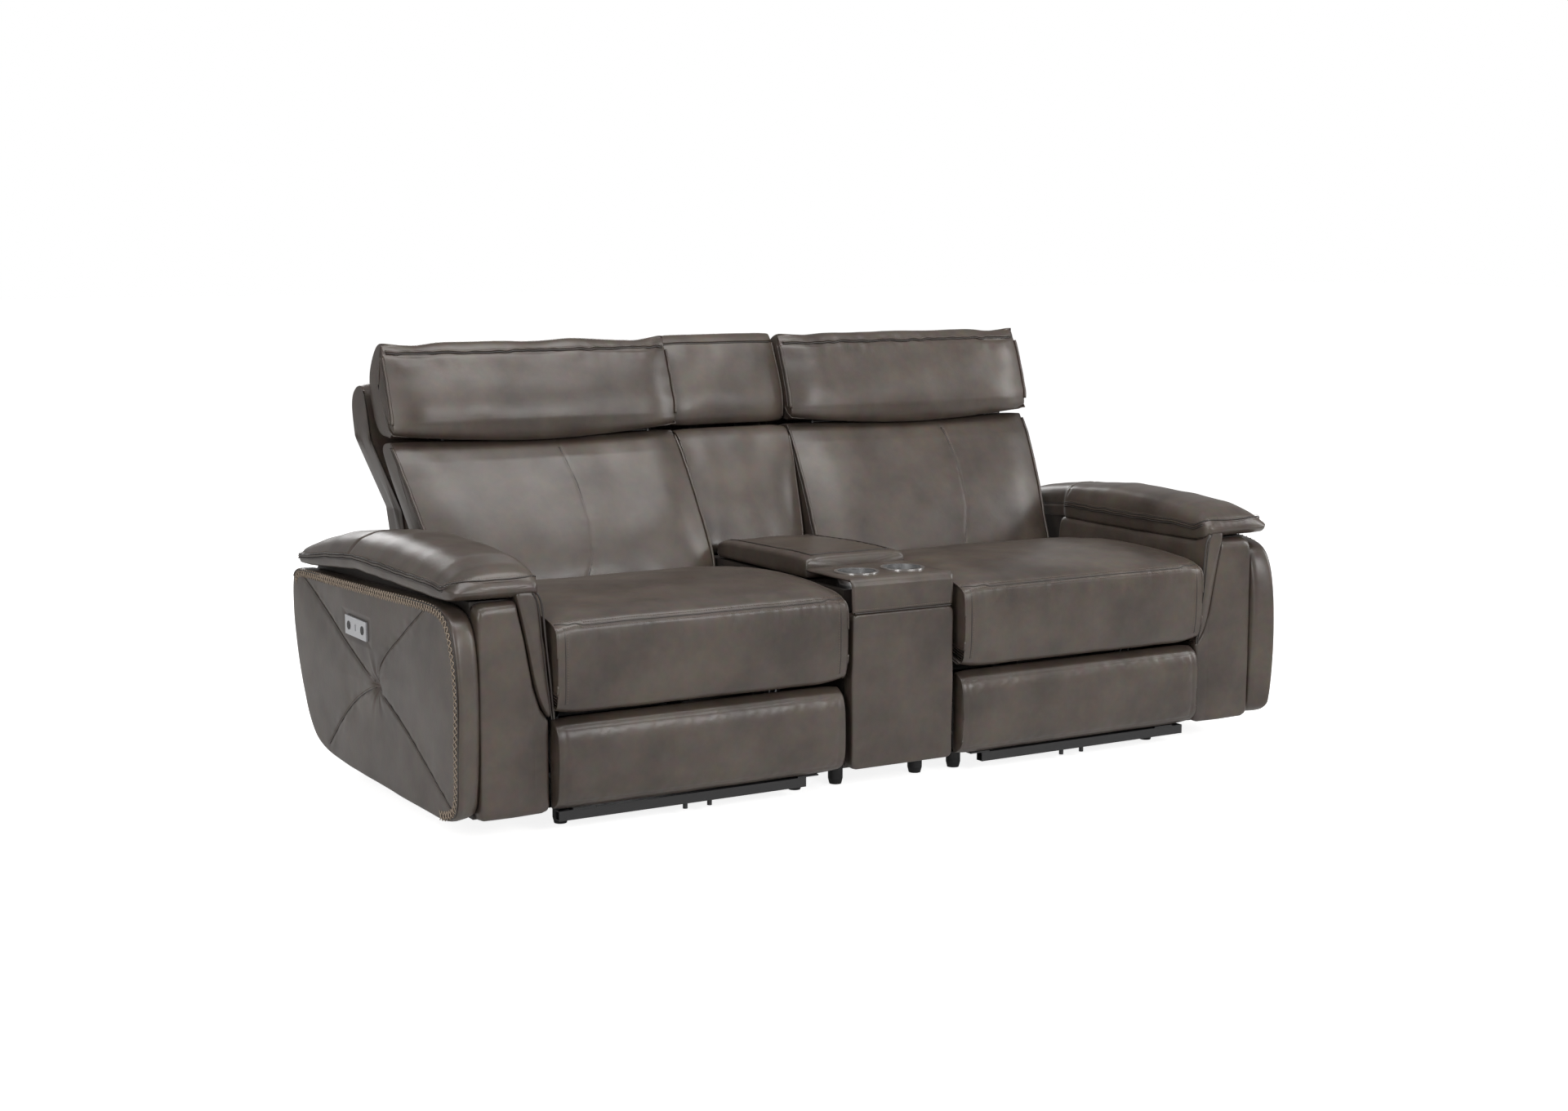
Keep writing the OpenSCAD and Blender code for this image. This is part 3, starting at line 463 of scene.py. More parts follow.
def seat_cushion(side, sign, seed):
    """One seat's cover, pushed out along its normals by a crown on top and by waves, and in along the
    front seam, at the draws below it and along creases that fan in from the rear corners."""
    section = smooth_line(SEAT_SECTION, 210)
    lo = upright(SEAT_IN)
    hi = upright(SEAT_OUT)
    grid, v = sweep(section, SEAT_EYE, lo, hi, reach=70, draw=(0.0, 0.10), gusset=3.0, rows=150)
    n = grid_normals(grid)
    x, y, z = np.moveaxis(grid, 2, 0)
    inner = 1 - dent(from_sides(v, SEAT_OUT - SEAT_IN), 85)
    top = ramp(z - 405, 30)
    front = ramp(SEAT_FRONT - y, 25)
    push = 3.2 * top * inner - 1.2
    push -= 1.8 * dent(z - SEAM_Z, 3.0) * ramp(-y - 480, 8)
    push += 0.5 * waves(x * 3.2, z * 0.4, 60, seed + 1) * dent(z - 400, 26) * front
    push += 1.3 * waves(x, y * 0.7, 190, seed + 2) * top * inner
    push += 0.5 * ripples(grid, 75, seed + 3)
    push += 0.6 * waves(x, z * 0.6, 120, seed + 4) * front
    for corner in (0.0, 1.0):
        dx = np.abs(v[:, None] - corner) * (SEAT_OUT - SEAT_IN)
        push -= 1.6 * dent(dx - 0.45 * (60 - y) * 0.6, 7) * dent(np.hypot(dx, y + 10) - 90, 60) * top
    grid = mirrored(grid + n * push[..., None], sign)
    add_cover(f"{side}_seat_cover", grid, hides[side], "sofa", f"{side}_seat_cushion")
    # Two rows of stitches that frame the front seam, and a dark cord in the seam: painted shade
    rows = []
    seam_shades = []
    for height, out in ((SEAM_Z + 5, -0.5), (SEAM_Z, -0.1), (SEAM_Z - 5, -0.5)):
        line = grid[across(grid, height, grid[..., 1] >= SEAT_FRONT, 9)] + (0, out, 0)
        if height == SEAM_Z:
            seam_shades.append(seam_shade_cord(line, 1.3))
        else:
            rows += stitches(line, radius=0.7)
    # The upright seams where the front meets the gussets, as dark cords of painted shade with stitches
    # beside them
    for ring, beside in ((grid[13], 4.5), (grid[-14], -4.5)):
        line = ring[(ring[:, 1] < -478) & (ring[:, 2] > 262) & (ring[:, 2] < 414)]
        line = line[np.argsort(line[:, 2])]
        seam_shades.append(seam_shade_cord(line, 1.0))
        rows += stitches(line + (beside * sign, -0.3, 0), radius=0.6)
    add_parts(f"{side}_seat_seams", seam_shades, trim_and_shade_hide, "sofa")
    add_parts(f"{side}_seat_stitches", rows, thread, "sofa")
    for end, ring in (("in", grid[8]), ("out", grid[-9])):
        line = ring[(ring[:, 2] > 300) | (ring[:, 1] < SEAT_FRONT)]
        line = line[np.argsort(np.arctan2(line[:, 2] - 330, line[:, 1] + 240))]
        add_parts(f"{side}_seat_welt_{end}", [tube(line[4:-4], 2.0)], hides[side], "sofa")


def both_sides(make, seed):
    """Makes a piece on the left and on the right, each with a seed of its own."""
    for side, sign, more in SIDES:
        make(side, sign, seed + more)


both_sides(seat_cushion, 10)

# Lower back cushions: foam and fibre in leather, hung on the back frames. Each has a curved seam down
# its front and a double flange at both sides. The two seams bend the same way, as in the photograph.
BACK_EYE = (170, 520)
BACK_WIDTH = 670
BACK_SECTION = [(60, 396), (66, 430), (132, 556), (196, 656), (232, 700), (248, 711), (262, 714.2),
                (300, 714.2), (314, 708), (326, 690), (222, 500), (160, 380), (112, 366)]
BACK_SEAMS = {
    "left": [(-459, 700), (-459, 681), (-444, 615), (-439, 528), (-450, 460), (-479, 398), (-484, 380)],
    "right": [(581, 700), (583, 684), (585, 600), (572, 505), (539, 417), (530, 380)],
}


def between(a, b):
    """A side that leans straight from x = a at the seat, z = 452, to b at the lower cushion's top, z =
    715."""
    return lambda z: a + (b - a) * np.clip((np.asarray(z, float) - 452) / 263, 0, 1)


back_in = between(144, 157)
back_out = between(806, 847)


def set_back(grid, section, v, width, depth):
    """Curves a swept cushion's front back towards its side seams: depth times the nearness to a seam, on
    the part of the section that looks to the front."""
    step = np.roll(section, -1, 0) - np.roll(section, 1, 0)
    n = np.column_stack([step[:, 1], -step[:, 0]])
    n /= np.linalg.norm(n, axis=1, keepdims=True)
    if (n * (section - section.mean(0))).sum() < 0:
        n = -n
    near = np.clip(1 - from_sides(v, width) / 90, 0, 1) ** 2.2
    grid[..., 1] += depth * near * facing(n, 0, -1.6)[None, :]


def seam_x(points, z):
    """x of a seam that runs down through points, at heights z."""
    p = np.array(points[::-1], float)
    return np.interp(z, p[:, 1], p[:, 0])


def nearest(grid, axes, place, barred=0):
    """Index of the grid's point that lies nearest to a place on two axes and isn't barred."""
    away = sum((grid[..., axis] - value) ** 2 for axis, value in zip(axes, place)) + 1e6 * barred
    return np.unravel_index(np.argmin(away), away.shape)


def side_line(ring, normals, heights):
    """The ring's points nearest to a list of heights, where it doesn't look to the rear, smoothed."""
    here = ring[normals[:, 1] < 0.1]
    return relax(here[np.argmin(np.abs(here[None, :, 2] - heights[:, None]), axis=1)], 3)


def back_cushion(side, sign, seed):
    """One lower cushion, pushed out by a swell over the lumbar, widest in the middle, and by waves, and
    in at the curved seam and under the headrest. Its top edge rises towards both ends."""
    section = smooth_line(BACK_SECTION, 190)
    grid, v = sweep(section, BACK_EYE, back_in, back_out, reach=60, draw=(0.03, 0.015), gusset=4.0, rows=170)
    set_back(grid, section, v, BACK_WIDTH, depth=15)
    n = mirrored(grid_normals(grid), sign)
    grid = mirrored(grid, sign)
    x, y, z = np.moveaxis(grid, 2, 0)
    inner = 1 - dent(from_sides(v, BACK_WIDTH), 60)
    front = facing(n, 1, -2.0)
    seam = BACK_SEAMS[side]
    away = x - seam_x(seam, z)
    clear = ramp(704 - z, 34)
    crown = 1 - 0.6 * off_middle(v) ** 2
    push = front * inner * (1.0 + 9.0 * dent(z - 505, 110) * crown) * clear - 2.6 * (1 - clear) * front
    push -= 1.1 * dent(away, 3.2) * front
    push += 0.28 * waves(x * 0.5, z * 2.4, 62, seed + 1) * dent(away, 26) * front
    push += 1.6 * waves(x, z * 0.8, 170, seed + 2) * front * inner * clear
    push += 0.35 * ripples(grid, 90, seed + 3)
    hang = waves(x * 1.3, z * 0.35, 150, seed + 4)
    push += (0.6 * hang * dent(z - 665, 40) + 0.9 * hang * dent(z - 415, 40)) * front
    grid[..., 2] += ramp(z - 640, 70) * ramp(300 - y, 60) * 7 * off_middle(v) ** 2.2
    skin = grid + n * push[..., None]
    add_cover(f"{side}_back_cover", skin, hides[side], f"{side}_back", f"{side}_back_cushion")
    # The curved seam as a dark cord of painted shade, and the row of stitches beside it
    lines = []
    for beside in (0.0, 4.6):
        line = []
        for height in np.arange(412, 694, 3.0):
            goal = seam_x(seam, height) + beside
            k = nearest(grid, (0, 2), (goal, height), n[..., 1] > -0.3)
            line.append(np.array([goal, skin[k][1], height]) + n[k] * 0.4)
        lines.append(relax(line, 4))
    # Side flanges: a welt where the front meets the side, a groove with a dark cord of painted shade in it,
    # and a second welt behind it
    seam_shades = [seam_shade_cord(lines[0], 1.3)]
    cords = []
    for row, out in ((8, -sign), (len(skin) - 9, sign)):
        layers = ((0.0, 3.0, 8, cords), (5.0, 1.9, 6, seam_shades), (14.0, 2.2, 8, cords))
        for back_step, radius, corners, parts in layers:
            line = side_line(skin[row], n[row], np.arange(404, 706, 4.0)) + (0, back_step, 0)
            line[:, 0] += out * (2.2 + 0.6 * ripples(line, 36, seed + row))
            line[:, 1] -= 1.6
            parts.append(tube(line, radius, corners))
    add_parts(f"{side}_back_welts", cords, hides[side], f"{side}_back")
    add_parts(f"{side}_back_seams", seam_shades, trim_and_shade_hide, f"{side}_back")
    add_parts(f"{side}_back_stitches", stitches(lines[1], radius=0.75), thread, f"{side}_back")


both_sides(back_cushion, 110)

# Headrests: fuller fibre pillows in leather, screwed to the tilting brackets. A ruffled double flange
# runs along the top edge and down both sides, and the roll at the foot hangs over the lower cushion.
HEAD_EYE = (308, 830)
HEAD_WIDTH = 690
HEAD_SECTION = [(262, 723.8), (250, 716), (232, 708), (219, 722), (221, 760), (234, 806), (262, 880),
                (284, 924), (304, 932), (340, 920), (374, 880), (384, 840), (372, 790), (344, 744),
                (316, 723.8)]


def top_line(grid, n, height, end):
    """The line across a pillow's front at a height, lifted 0.8 mm off the leather and smoothed."""
    spots = across(grid, height, n[..., 1] > -0.05, end)
    return relax(grid[spots] + n[spots] * 0.8, 4)


def headrest(side, sign, seed):
    """One pillow, pushed out by its swell and by waves and puckers, and in under the flange. The roll
    hangs lowest in the middle, and the corners of the top edge stand up a little."""
    section = smooth_line(HEAD_SECTION, 170)
    grid, v = sweep(section, HEAD_EYE, back_in, back_out, reach=60, draw=(0.03, 0.03), gusset=4.0, rows=170)
    set_back(grid, section, v, HEAD_WIDTH, depth=17)
    sag = ramp(752 - grid[..., 2], 40) * ramp(262 - grid[..., 1], 14)
    grid[..., 2] += sag * (21 * off_middle(v) ** 1.7 - 2)
    n = mirrored(grid_normals(grid), sign)
    grid = mirrored(grid, sign)
    x, _, z = np.moveaxis(grid, 2, 0)
    edge = from_sides(v, HEAD_WIDTH)
    inner = 1 - dent(edge, 55)
    front = facing(n, 1, -2.0)
    clear = ramp(z - 722, 36)
    crown = 1 - 0.6 * off_middle(v) ** 2
    push = front * inner * (1.0 + 7.0 * crown * dent(z - 805, 62)) * clear - 1.2 * (1 - clear)
    push -= 2.0 * dent(z - 905, 4.0) * facing(n, 1, -1.6)
    wander = 2.0 * ripples(x[:, :1, None], 210, seed + 7)
    grid[..., 2] += ramp(z - 880, 40) * (3.5 * dent(edge, 26) - 4.0 * dent(edge - 75, 40) + wander)
    pucker = waves(x * 2.2, z * 0.4, 84, seed + 1)
    push += 0.42 * pucker * dent(z - 893, 16) * front + 0.5 * pucker * dent(z - 917, 9)
    push += 1.7 * waves(x, z, 150, seed + 2) * front * inner * clear
    push += 0.35 * ripples(grid, 80, seed + 3)
    push += 1.1 * waves(x * 0.8, z * 2.2, 130, seed + 4) * dent(edge, 70) * front
    grid = grid + n * push[..., None]
    add_cover(f"{side}_headrest_cover", grid, hides[side], f"{side}_headrest", f"{side}_headrest_cushion")
    # The flange's double edge across the top waves a little, and a dark cord of painted shade lies in the
    # groove at each foot of it
    line = top_line(grid, n, 911, 10)
    line[:, 2] += 1.2 * ripples(line[:, :1], 44, seed + 5)
    cords = [tube(line, 2.6), tube(line + (0, 7.5, 3.6), 2.2)]
    groove_shades = []
    for row, out in ((8, -sign), (len(grid) - 9, sign)):
        down = side_line(grid[row], n[row], np.arange(900, 753, -4.0))
        down[:, 0] += out * (2.2 + 0.8 * ripples(down, 40, seed + row))
        down[:, 1] -= 1.6
        cords += [tube(down, 3.0), tube(down + (0, 14.0, 0), 2.2)]
        groove_shades.append(tube(down + (0, 5.2, 0), 2.0, sides=6))
    groove_shades += [tube(line + (0, -1.9, -4.2), 1.8, sides=6), tube(line + (0, 3.6, 1.4), 1.5, sides=6)]
    add_parts(f"{side}_headrest_flange", cords, hides[side], f"{side}_headrest")
    add_parts(f"{side}_headrest_grooves", groove_shades, trim_and_shade_hide, f"{side}_headrest")
    add_parts(f"{side}_headrest_stitches", stitches(line + (0, -1.6, -8.5)), thread, f"{side}_headrest")


both_sides(headrest, 210)

# Back shells: thinly padded leather over the boards behind the cushions. Those of the seats move with
# the backs, and the console's is fixed.
SHELL_EYE = (330, 560)
SHELL_WIDTH = 690
SHELL_GROOVE = 22
SHELL_SECTION = [(214, 322), (240, 400), (268, 470), (355, 690), (396, 800), (418, 836), (462, 838),
                 (508.5, 808), (503, 750), (440, 610), (372, 440), (300, 322), (250, 304)]
CONSOLE_SHELL_EYE = (350, 560)
CONSOLE_SHELL = [(290, 430.2), (300, 500), (370, 690), (404, 790), (424, 834), (462, 838), (504, 806),
                 (500, 750), (440, 610), (380, 470), (340, 430.2)]


def shell(key, outline, eye, lo, hi, body, seed, sign):
    """One shell's cover: soft ripples, less a groove a little in from each side."""
    section = smooth_line(outline, 150)
    grid, v = sweep(section, eye, lo, hi, reach=45, draw=(0.18, 0.02), gusset=2.5, rows=90)
    push = 0.5 * ripples(grid, 120, seed) - 0.8
    push -= 1.6 * dent(from_sides(v, SHELL_WIDTH) - SHELL_GROOVE, 2.4)
    grid = mirrored(grid + grid_normals(grid) * push[..., None], sign)
    add_cover(f"{key}_shell_cover", grid, hides[key], body, f"{key}_back_shell")


def shell_out(z):
    """The shells' outer sides: upright beside the arm boxes, then 49 mm further out over the next 155
    mm."""
    return 807 + 49 * ramp(np.asarray(z, float) - 560, 155)


console_right = between(127, 149)
console_left = between(-127, -149)


def seat_shell(side, sign, seed):
    """One seat's shell, which rides on its back."""
    shell(side, SHELL_SECTION, SHELL_EYE, between(142, 155), shell_out, f"{side}_back", seed, sign)


both_sides(seat_shell, 310)
shell("console", CONSOLE_SHELL, CONSOLE_SHELL_EYE, console_left, console_right, "sofa", seed=370, sign=1)

# Footrest pads: board, foam and leather panels that close the front under the seats, screwed to the
# linkages' brackets. A turned seam runs round the face.
FOOT_IN = 149.0
FOOT_OUT = 803.0
FOOT_LOW = 50
FOOT_HIGH = 233
FOOT_EYE = (-477.5, 141.5)
FOOT_SECTION = [(-455, 50), (-467, 49), (-500, 70), (-503, 141.5), (-500, 213), (-467, 234), (-455, 233),
                (-455, 141.5)]


def footrest_pad(side, sign, seed):
    """One panel's cover, pushed out by a slight crown and waves, and in along the seam 17 mm inside its
    edge."""
    section = smooth_line(FOOT_SECTION, 150)
    lo = upright(FOOT_IN)
    hi = upright(FOOT_OUT)
    grid, v = sweep(section, FOOT_EYE, lo, hi, reach=50, draw=(0.12, 0.04), gusset=5.0, rows=130)
    n = grid_normals(grid)
    front = facing(n, 1, -1.5)
    x, _, z = np.moveaxis(grid, 2, 0)
    edge = from_sides(v, FOOT_OUT - FOOT_IN)
    rim = np.minimum(np.minimum(edge, z - FOOT_LOW), FOOT_HIGH - z)
    push = 1.2 * front * (1 - dent(edge, 50)) - 0.6
    push -= 1.2 * dent(rim - 17, 2.4) * front
    push += 0.45 * waves(x * 2.6, z * 2.6, 70, seed + 1) * dent(rim - 26, 12) * front
    push += 0.7 * ripples(grid, 110, seed + 2) * front
    grid = mirrored(grid + n * push[..., None], sign)
    add_cover(f"{side}_footrest_cover", grid, hides[side], f"{side}_footrest", f"{side}_footrest_pad")


both_sides(footrest_pad, 410)

# Side panels: padded leather on the arms' outer faces, drawn down to a sewn tuft in the middle from
# which four seams run to the corners. A tan cross-stitched band follows the edge, with a lap just
# outside it whose edge is a dark cord of painted shade.
tan_thread = plain_material("tan_thread", (0.37, 0.30, 0.235), 0.7, scale=900.0, bump=0.4, specular=0.2)
SIDE_OUTLINE = [(-508, 250), (-507, 336), (-496, 410), (-474, 448), (-430, 463), (-373, 467), (0, 450),
                (387, 437), (440, 430), (452, 375), (438, 280), (409, 190), (352, 98), (280, 54),
                (140, 46), (-300, 46), (-484, 48), (-500, 120)]
TUFT = (-73, 250)
SIDE_SEAMS = [
    [TUFT, (118, 324), (296, 396), (400, 430)],
    [TUFT, (-90, 292), (-150, 340), (-360, 457)],
    [TUFT, (27, 214), (105, 168), (227, 72)],
    [TUFT, (-150, 226), (-252, 184), (-472, 79)],
]
SIDE_X = 1015
SIDE_EDGE = [(965.2, 0.972), (971, 0.988), (980, 0.997), (992, 1.0), (1004, 1.0), (1010, 0.997),
             (1013.4, 0.991), (1014.8, 0.983), (SIDE_X, 0.974)]
SWITCH_PLATE = (28, 357)
PLATE_FLAT = (62, 20)
BAND_SHARE = 0.958
LAP_SHARE = 1.029
CROSS_PITCH = 13.0
CROSS_HALF = 9.5
CROSS_RADIUS = 0.95
CROSS_LIFT = 1.3


def layered(outline, eye, layers, axis):
    """Rings of an outline, each drawn to the eye by its share and set at its own place along an axis."""
    place, share = np.array(layers, float).T[:, :, None]
    a, b = np.moveaxis(np.array(eye) + (outline - eye) * share[..., None], 2, 0)
    along = np.broadcast_to(place, a.shape)
    return np.stack([along, a, b] if axis == 0 else [a, along, b], axis=-1)


def line_distance(points, y, z):
    """Distance of each place from a chain of points in Y and Z: the least over its straight pieces."""
    best = np.full(y.shape, 1e9)
    for a, b in zip(np.array(points[:-1], float), np.array(points[1:], float)):
        d = b - a
        t = np.clip(((y - a[0]) * d[0] + (z - a[1]) * d[1]) / (d @ d), 0, 1)
        best = np.minimum(best, np.hypot(y - a[0] - t * d[0], z - a[1] - t * d[1]))
    return best


def lean(y, z):
    """How far the panel leans forward over its rolled front edge: 8 mm, and up to 12 mm more low
    down."""
    return ramp(-y - 300, 208) ** 2 * (8 + 12 * ramp(420 - z, 340))


def side_panel(side, sign, seed):
    """One panel, from its back over the rolled edge and across the face to the tuft. It is pushed out by
    its swell away from the seams and by waves, and in at the seams and the tuft; it lies flat under the
    switch plate."""
    layers = SIDE_EDGE + [(SIDE_X, share) for share in np.linspace(SIDE_EDGE[-1][1], 0.0, 110)[1:-1]]
    grid = layered(smooth_line(SIDE_OUTLINE, 420), TUFT, layers, 0)
    share = np.array(layers)[:, 1:]
    face = ramp(grid[..., 0] - 1000, 14)
    grid[..., 1] -= lean(grid[..., 1], grid[..., 2]) * ramp(grid[..., 0] - 985, 28)
    y, z = np.moveaxis(grid[..., 1:], 2, 0)
    seam = np.min([line_distance(points, y, z) for points in SIDE_SEAMS], axis=0)
    tuft = np.hypot(y - TUFT[0], z - TUFT[1])
    out = 4.0 * (1 - dent(seam, 70)) * (1 - share ** 6)
    out -= 1.6 * dent(seam, 6) * (1 - share ** 8)
    out -= 9.0 * dent(tuft, 20) + 3.0 * dent(tuft, 60)
    heading = np.arctan2(z - TUFT[1], y - TUFT[0])
    out += 0.9 * waves(heading * 60, tuft * 0.12, 34, seed + 1) * dent(tuft - 34, 28)
    out += 0.4 * waves(y * 2.2, z * 2.2, 72, seed + 2) * dent(seam, 22)
    out += 1.2 * waves(y, z, 210, seed + 3) + 0.2 * waves(y, z, 90, seed + 4)
    off_y = np.abs(y - SWITCH_PLATE[0]) - PLATE_FLAT[0]
    off_z = np.abs(z - SWITCH_PLATE[1]) - PLATE_FLAT[1]
    free = ramp(np.maximum(off_y, 2 * off_z), 26)
    grid[..., 0] += (out * free - 0.4 * (1 - free)) * face
    grid = mirrored(grid, sign)
    add_cover(f"{side}_side_cover", grid, hides[side], "sofa", f"{side}_side_panel")
    # Crossed threads along the band, from the rear top corner forward and down the front edge
    panel = grid[8:]
    band = TUFT + (smooth_line(SIDE_OUTLINE, 900) - TUFT) * BAND_SHARE
    band[:, 0] -= lean(band[:, 0], band[:, 1])
    keep = (band[:, 1] > 392) | (band[:, 0] < -400)
    start = int(np.argmax(~keep & np.roll(keep, 1)))
    band = np.roll(band, -start, axis=0)[np.roll(keep, -start)]
    run = np.r_[0, np.cumsum(np.linalg.norm(np.diff(band, axis=0), axis=1))]
    parts = []
    for s in np.arange(CROSS_PITCH, run[-1] - CROSS_PITCH, CROSS_PITCH):
        here, after = [np.array([np.interp(at, run, q) for q in band.T]) for at in (s, s + CROSS_PITCH)]
        along = (after - here) / (np.linalg.norm(after - here) + 1e-9)
        beside = np.array([-along[1], along[0]]) * CROSS_HALF
        base = panel[nearest(panel, (1, 2), here)][0]
        low = base + sign * CROSS_LIFT * 0.2
        high = base + sign * CROSS_LIFT
        for way in (1, -1):
            a = here - beside * way
            b = after + beside * way
            parts.append(tube([(low, *a), (high, *(a + b) / 2), (low, *b)], CROSS_RADIUS, sides=4))
    add_parts(f"{side}_side_cross_stitches", parts, tan_thread, "sofa")
    # The lap's edge: a dark cord of painted shade
    lap = TUFT + (band - TUFT) * LAP_SHARE
    lap = np.column_stack([np.full(len(lap), sign * (SIDE_X + 0.2)), lap])
    add_parts(f"{side}_side_lap", [seam_shade_cord(lap[6:-6:2], 1.5)], trim_and_shade_hide, "sofa")
    # The four seams, each a dark cord of painted shade with a row of stitches beside it
    rows = []
    seam_shades = []
    for points in SIDE_SEAMS:
        line = smooth_line(points, 130, closed=False)
        tangent = np.gradient(line, axis=0)
        tangent /= np.linalg.norm(tangent, axis=1, keepdims=True)
        for shift in (0.0, 4.2):
            moved = line + tangent[:, ::-1] * (-shift, shift)
            moved = moved[np.hypot(*(moved - TUFT).T) > 16][::3]
            lifted = [(panel[nearest(panel, (1, 2), q)][0] + sign * 0.4, *q) for q in moved]
            if shift:
                rows += stitches(lifted)
            else:
                seam_shades.append(seam_shade_cord(lifted))
    add_parts(f"{side}_side_seams", seam_shades, trim_and_shade_hide, "sofa")
    add_parts(f"{side}_side_stitches", rows, thread, "sofa")


both_sides(side_panel, 510)

# Arm fronts and inner arm pads: leather over thin foam on board, stapled to the arm boxes. The front is
# a plain panel, and the inner pad wraps to the front as a narrow strip between two welts.
FRONT_EYE = (888, 200)
FRONT_OUTLINE = [(812, 60), (816, 52), (828, 48), (888, 47), (950, 48), (961, 53), (964, 66), (965, 260),
                 (964, 456), (960, 468), (948, 473), (878, 473), (876, 460), (863, 400), (845, 304),
                 (830, 258), (812, 232), (812, 140)]
FRONT_EDGE = [(-455.2, 0.985), (-459, 0.995), (-466, 1.0), (-471, 0.993), (-474, 0.975), (-475.6, 0.95),
              (-476.4, 0.92)]
FRONT_FACE = -476.6
INNER_EYE = (838, 380)
INNER_OUTLINE = [(807, 228), (812, 290), (824, 382), (828, 440), (832, 470), (850, 474), (876, 474),
                 (874, 460), (861, 400), (843, 304), (828, 258)]
INNER_FRONT = [(-486, 0.90), (-485, 0.94), (-483, 0.97), (-480, 0.988), (-476, 0.996)]
INNER_REAR = [(54, 0.99), (60, 0.965), (62, 0.93)]
STRIP = [(838, 486, 1), (829, 470, 1), (825, 436, 1), (820, 380, 1), (811, 300, 0.9), (806, 236, 0.6)]
STRIP_FACE = -486.6


def corner_line(points, count):
    """A closed line through points with straight runs, as count points at equal steps."""
    p = np.array(points + points[:1], float)
    run = np.r_[0, np.cumsum(np.linalg.norm(np.diff(p, axis=0), axis=1))]
    s = np.linspace(0, run[-1], count, endpoint=False)
    return np.column_stack([np.interp(s, run, p[:, i]) for i in range(2)])


def arm_front(side, sign, seed):
    """One front panel, pushed forward by a swell in its middle, a fuller outer edge and waves."""
    layers = FRONT_EDGE + [(FRONT_FACE, share) for share in np.linspace(0.9, 0.06, 40)]
    grid = layered(corner_line(FRONT_OUTLINE, 300), FRONT_EYE, layers, 1)
    x, y, z = np.moveaxis(grid, 2, 0)
    middle = dent(x - FRONT_EYE[0], 70) * np.exp(-((z - 230) / 210) ** 4)
    outer = ramp(x - 846, 110) ** 0.8
    grid[..., 1] -= ramp(-y - 470, 6) * (7.0 * middle + 12.0 * outer + 0.8 * waves(x, z, 120, seed) - 0.4)
    add_cover(f"{side}_arm_front_cover", mirrored(grid, sign), hides[side], "sofa", f"{side}_arm_front")


def inner_pad(side, sign, seed):
    """One inner pad with waves on its inner side. At the front its strip runs up and out into the arm
    pad's lip."""
    layers = INNER_FRONT + [(y, 1.0) for y in np.linspace(-470, 46, 90)] + INNER_REAR
    grid = layered(smooth_line(INNER_OUTLINE, 150), INNER_EYE, layers, 1)
    lip = ramp(-grid[..., 1] - 440, 40) * ramp(grid[..., 2] - 440, 30)
    grid[..., 2] += 20 * lip
    grid[..., 0] += 6 * lip
    n = grid_normals(grid)
    _, y, z = np.moveaxis(grid, 2, 0)
    push = 1.4 * waves(y * 0.9, z * 1.6, 150, seed) + 0.5 * ripples(grid, 60, seed + 1) - 0.5
    push *= facing(n, 0, -1.5)
    grid = mirrored(grid + n * push[..., None], sign)
    add_cover(f"{side}_inner_pad_cover", grid, hides[side], "sofa", f"{side}_inner_arm_pad")
    cords = []
    for shift, radius in ((0.0, 2.2), (8.0, 1.3)):
        x, z = smooth_line([(x + shift * share, z) for x, z, share in STRIP], 80, closed=False).T
        cords.append(tube(np.column_stack([sign * x, np.full(80, STRIP_FACE), z]), radius))
    add_parts(f"{side}_inner_pad_welts", cords, trim_and_shade_hide, "sofa")


for side_key, side_sign, side_seed in SIDES:
    arm_front(side_key, side_sign, 610 + side_seed)
    inner_pad(side_key, side_sign, 610 + side_seed)

# Arm pads: long fibre pillows in leather, zipped over the arm boxes' tops. A seam crosses each beside
# the seat's back, and a double flange runs round the foot. A station is y, x from and to, z from and to.
PAD_OUTLINE = [(0.01, -0.04), (0, 0.3), (0.01, 0.64), (0.1, 0.92), (0.34, 1), (0.66, 0.97), (0.88, 0.76),
               (0.985, 0.47), (1.0, 0.40), (0.995, 0.34), (0.985, 0.06), (0.93, 0), (0.5, 0),
               (0.14, -0.04), (0.04, -0.06)]
PAD_STATIONS = [(-490, 846, 1000, 493, 502), (-485, 836, 1008, 488, 514), (-474, 830, 1013, 481, 528),
                (-448, 827, 1016, 476.3, 542), (-400, 827, 1016, 474.8, 555),
                (-300, 827, 1016, 474.3, 564), (-109, 827, 1016, 474.3, 568),
                (48, 831, 1016, 474.3, 556), (84, 862, 1015, 471, 552), (204, 868, 1015, 460, 537),
                (335, 870, 1015, 448, 510), (404, 876, 1012, 446, 490), (430, 890, 995, 452, 474)]
PAD_MIDDLE = 925
FLANGE_TOP = 35


def pad_rings(outline, stations, count):
    """Rings of a pad along Y: the outline, given as shares of its width and height, set at stations
    between the given ones."""
    s = np.array(stations, float)
    run = np.r_[0, np.cumsum(np.hypot(np.diff(s[:, 0]), np.diff(s[:, 4])))]
    rows = np.column_stack([np.interp(np.linspace(0, run[-1], count), run, s[:, i]) for i in range(5)])
    for _ in range(2):
        rows[1:-1, 1:] = (rows[:-2, 1:] + 2 * rows[1:-1, 1:] + rows[2:, 1:]) / 4
    y, x0, x1, z0, z1 = rows.T[:, :, None]
    a, b = outline.T
    return np.stack(np.broadcast_arrays(x0 + a * (x1 - x0), y, z0 + b * (z1 - z0)), axis=-1)


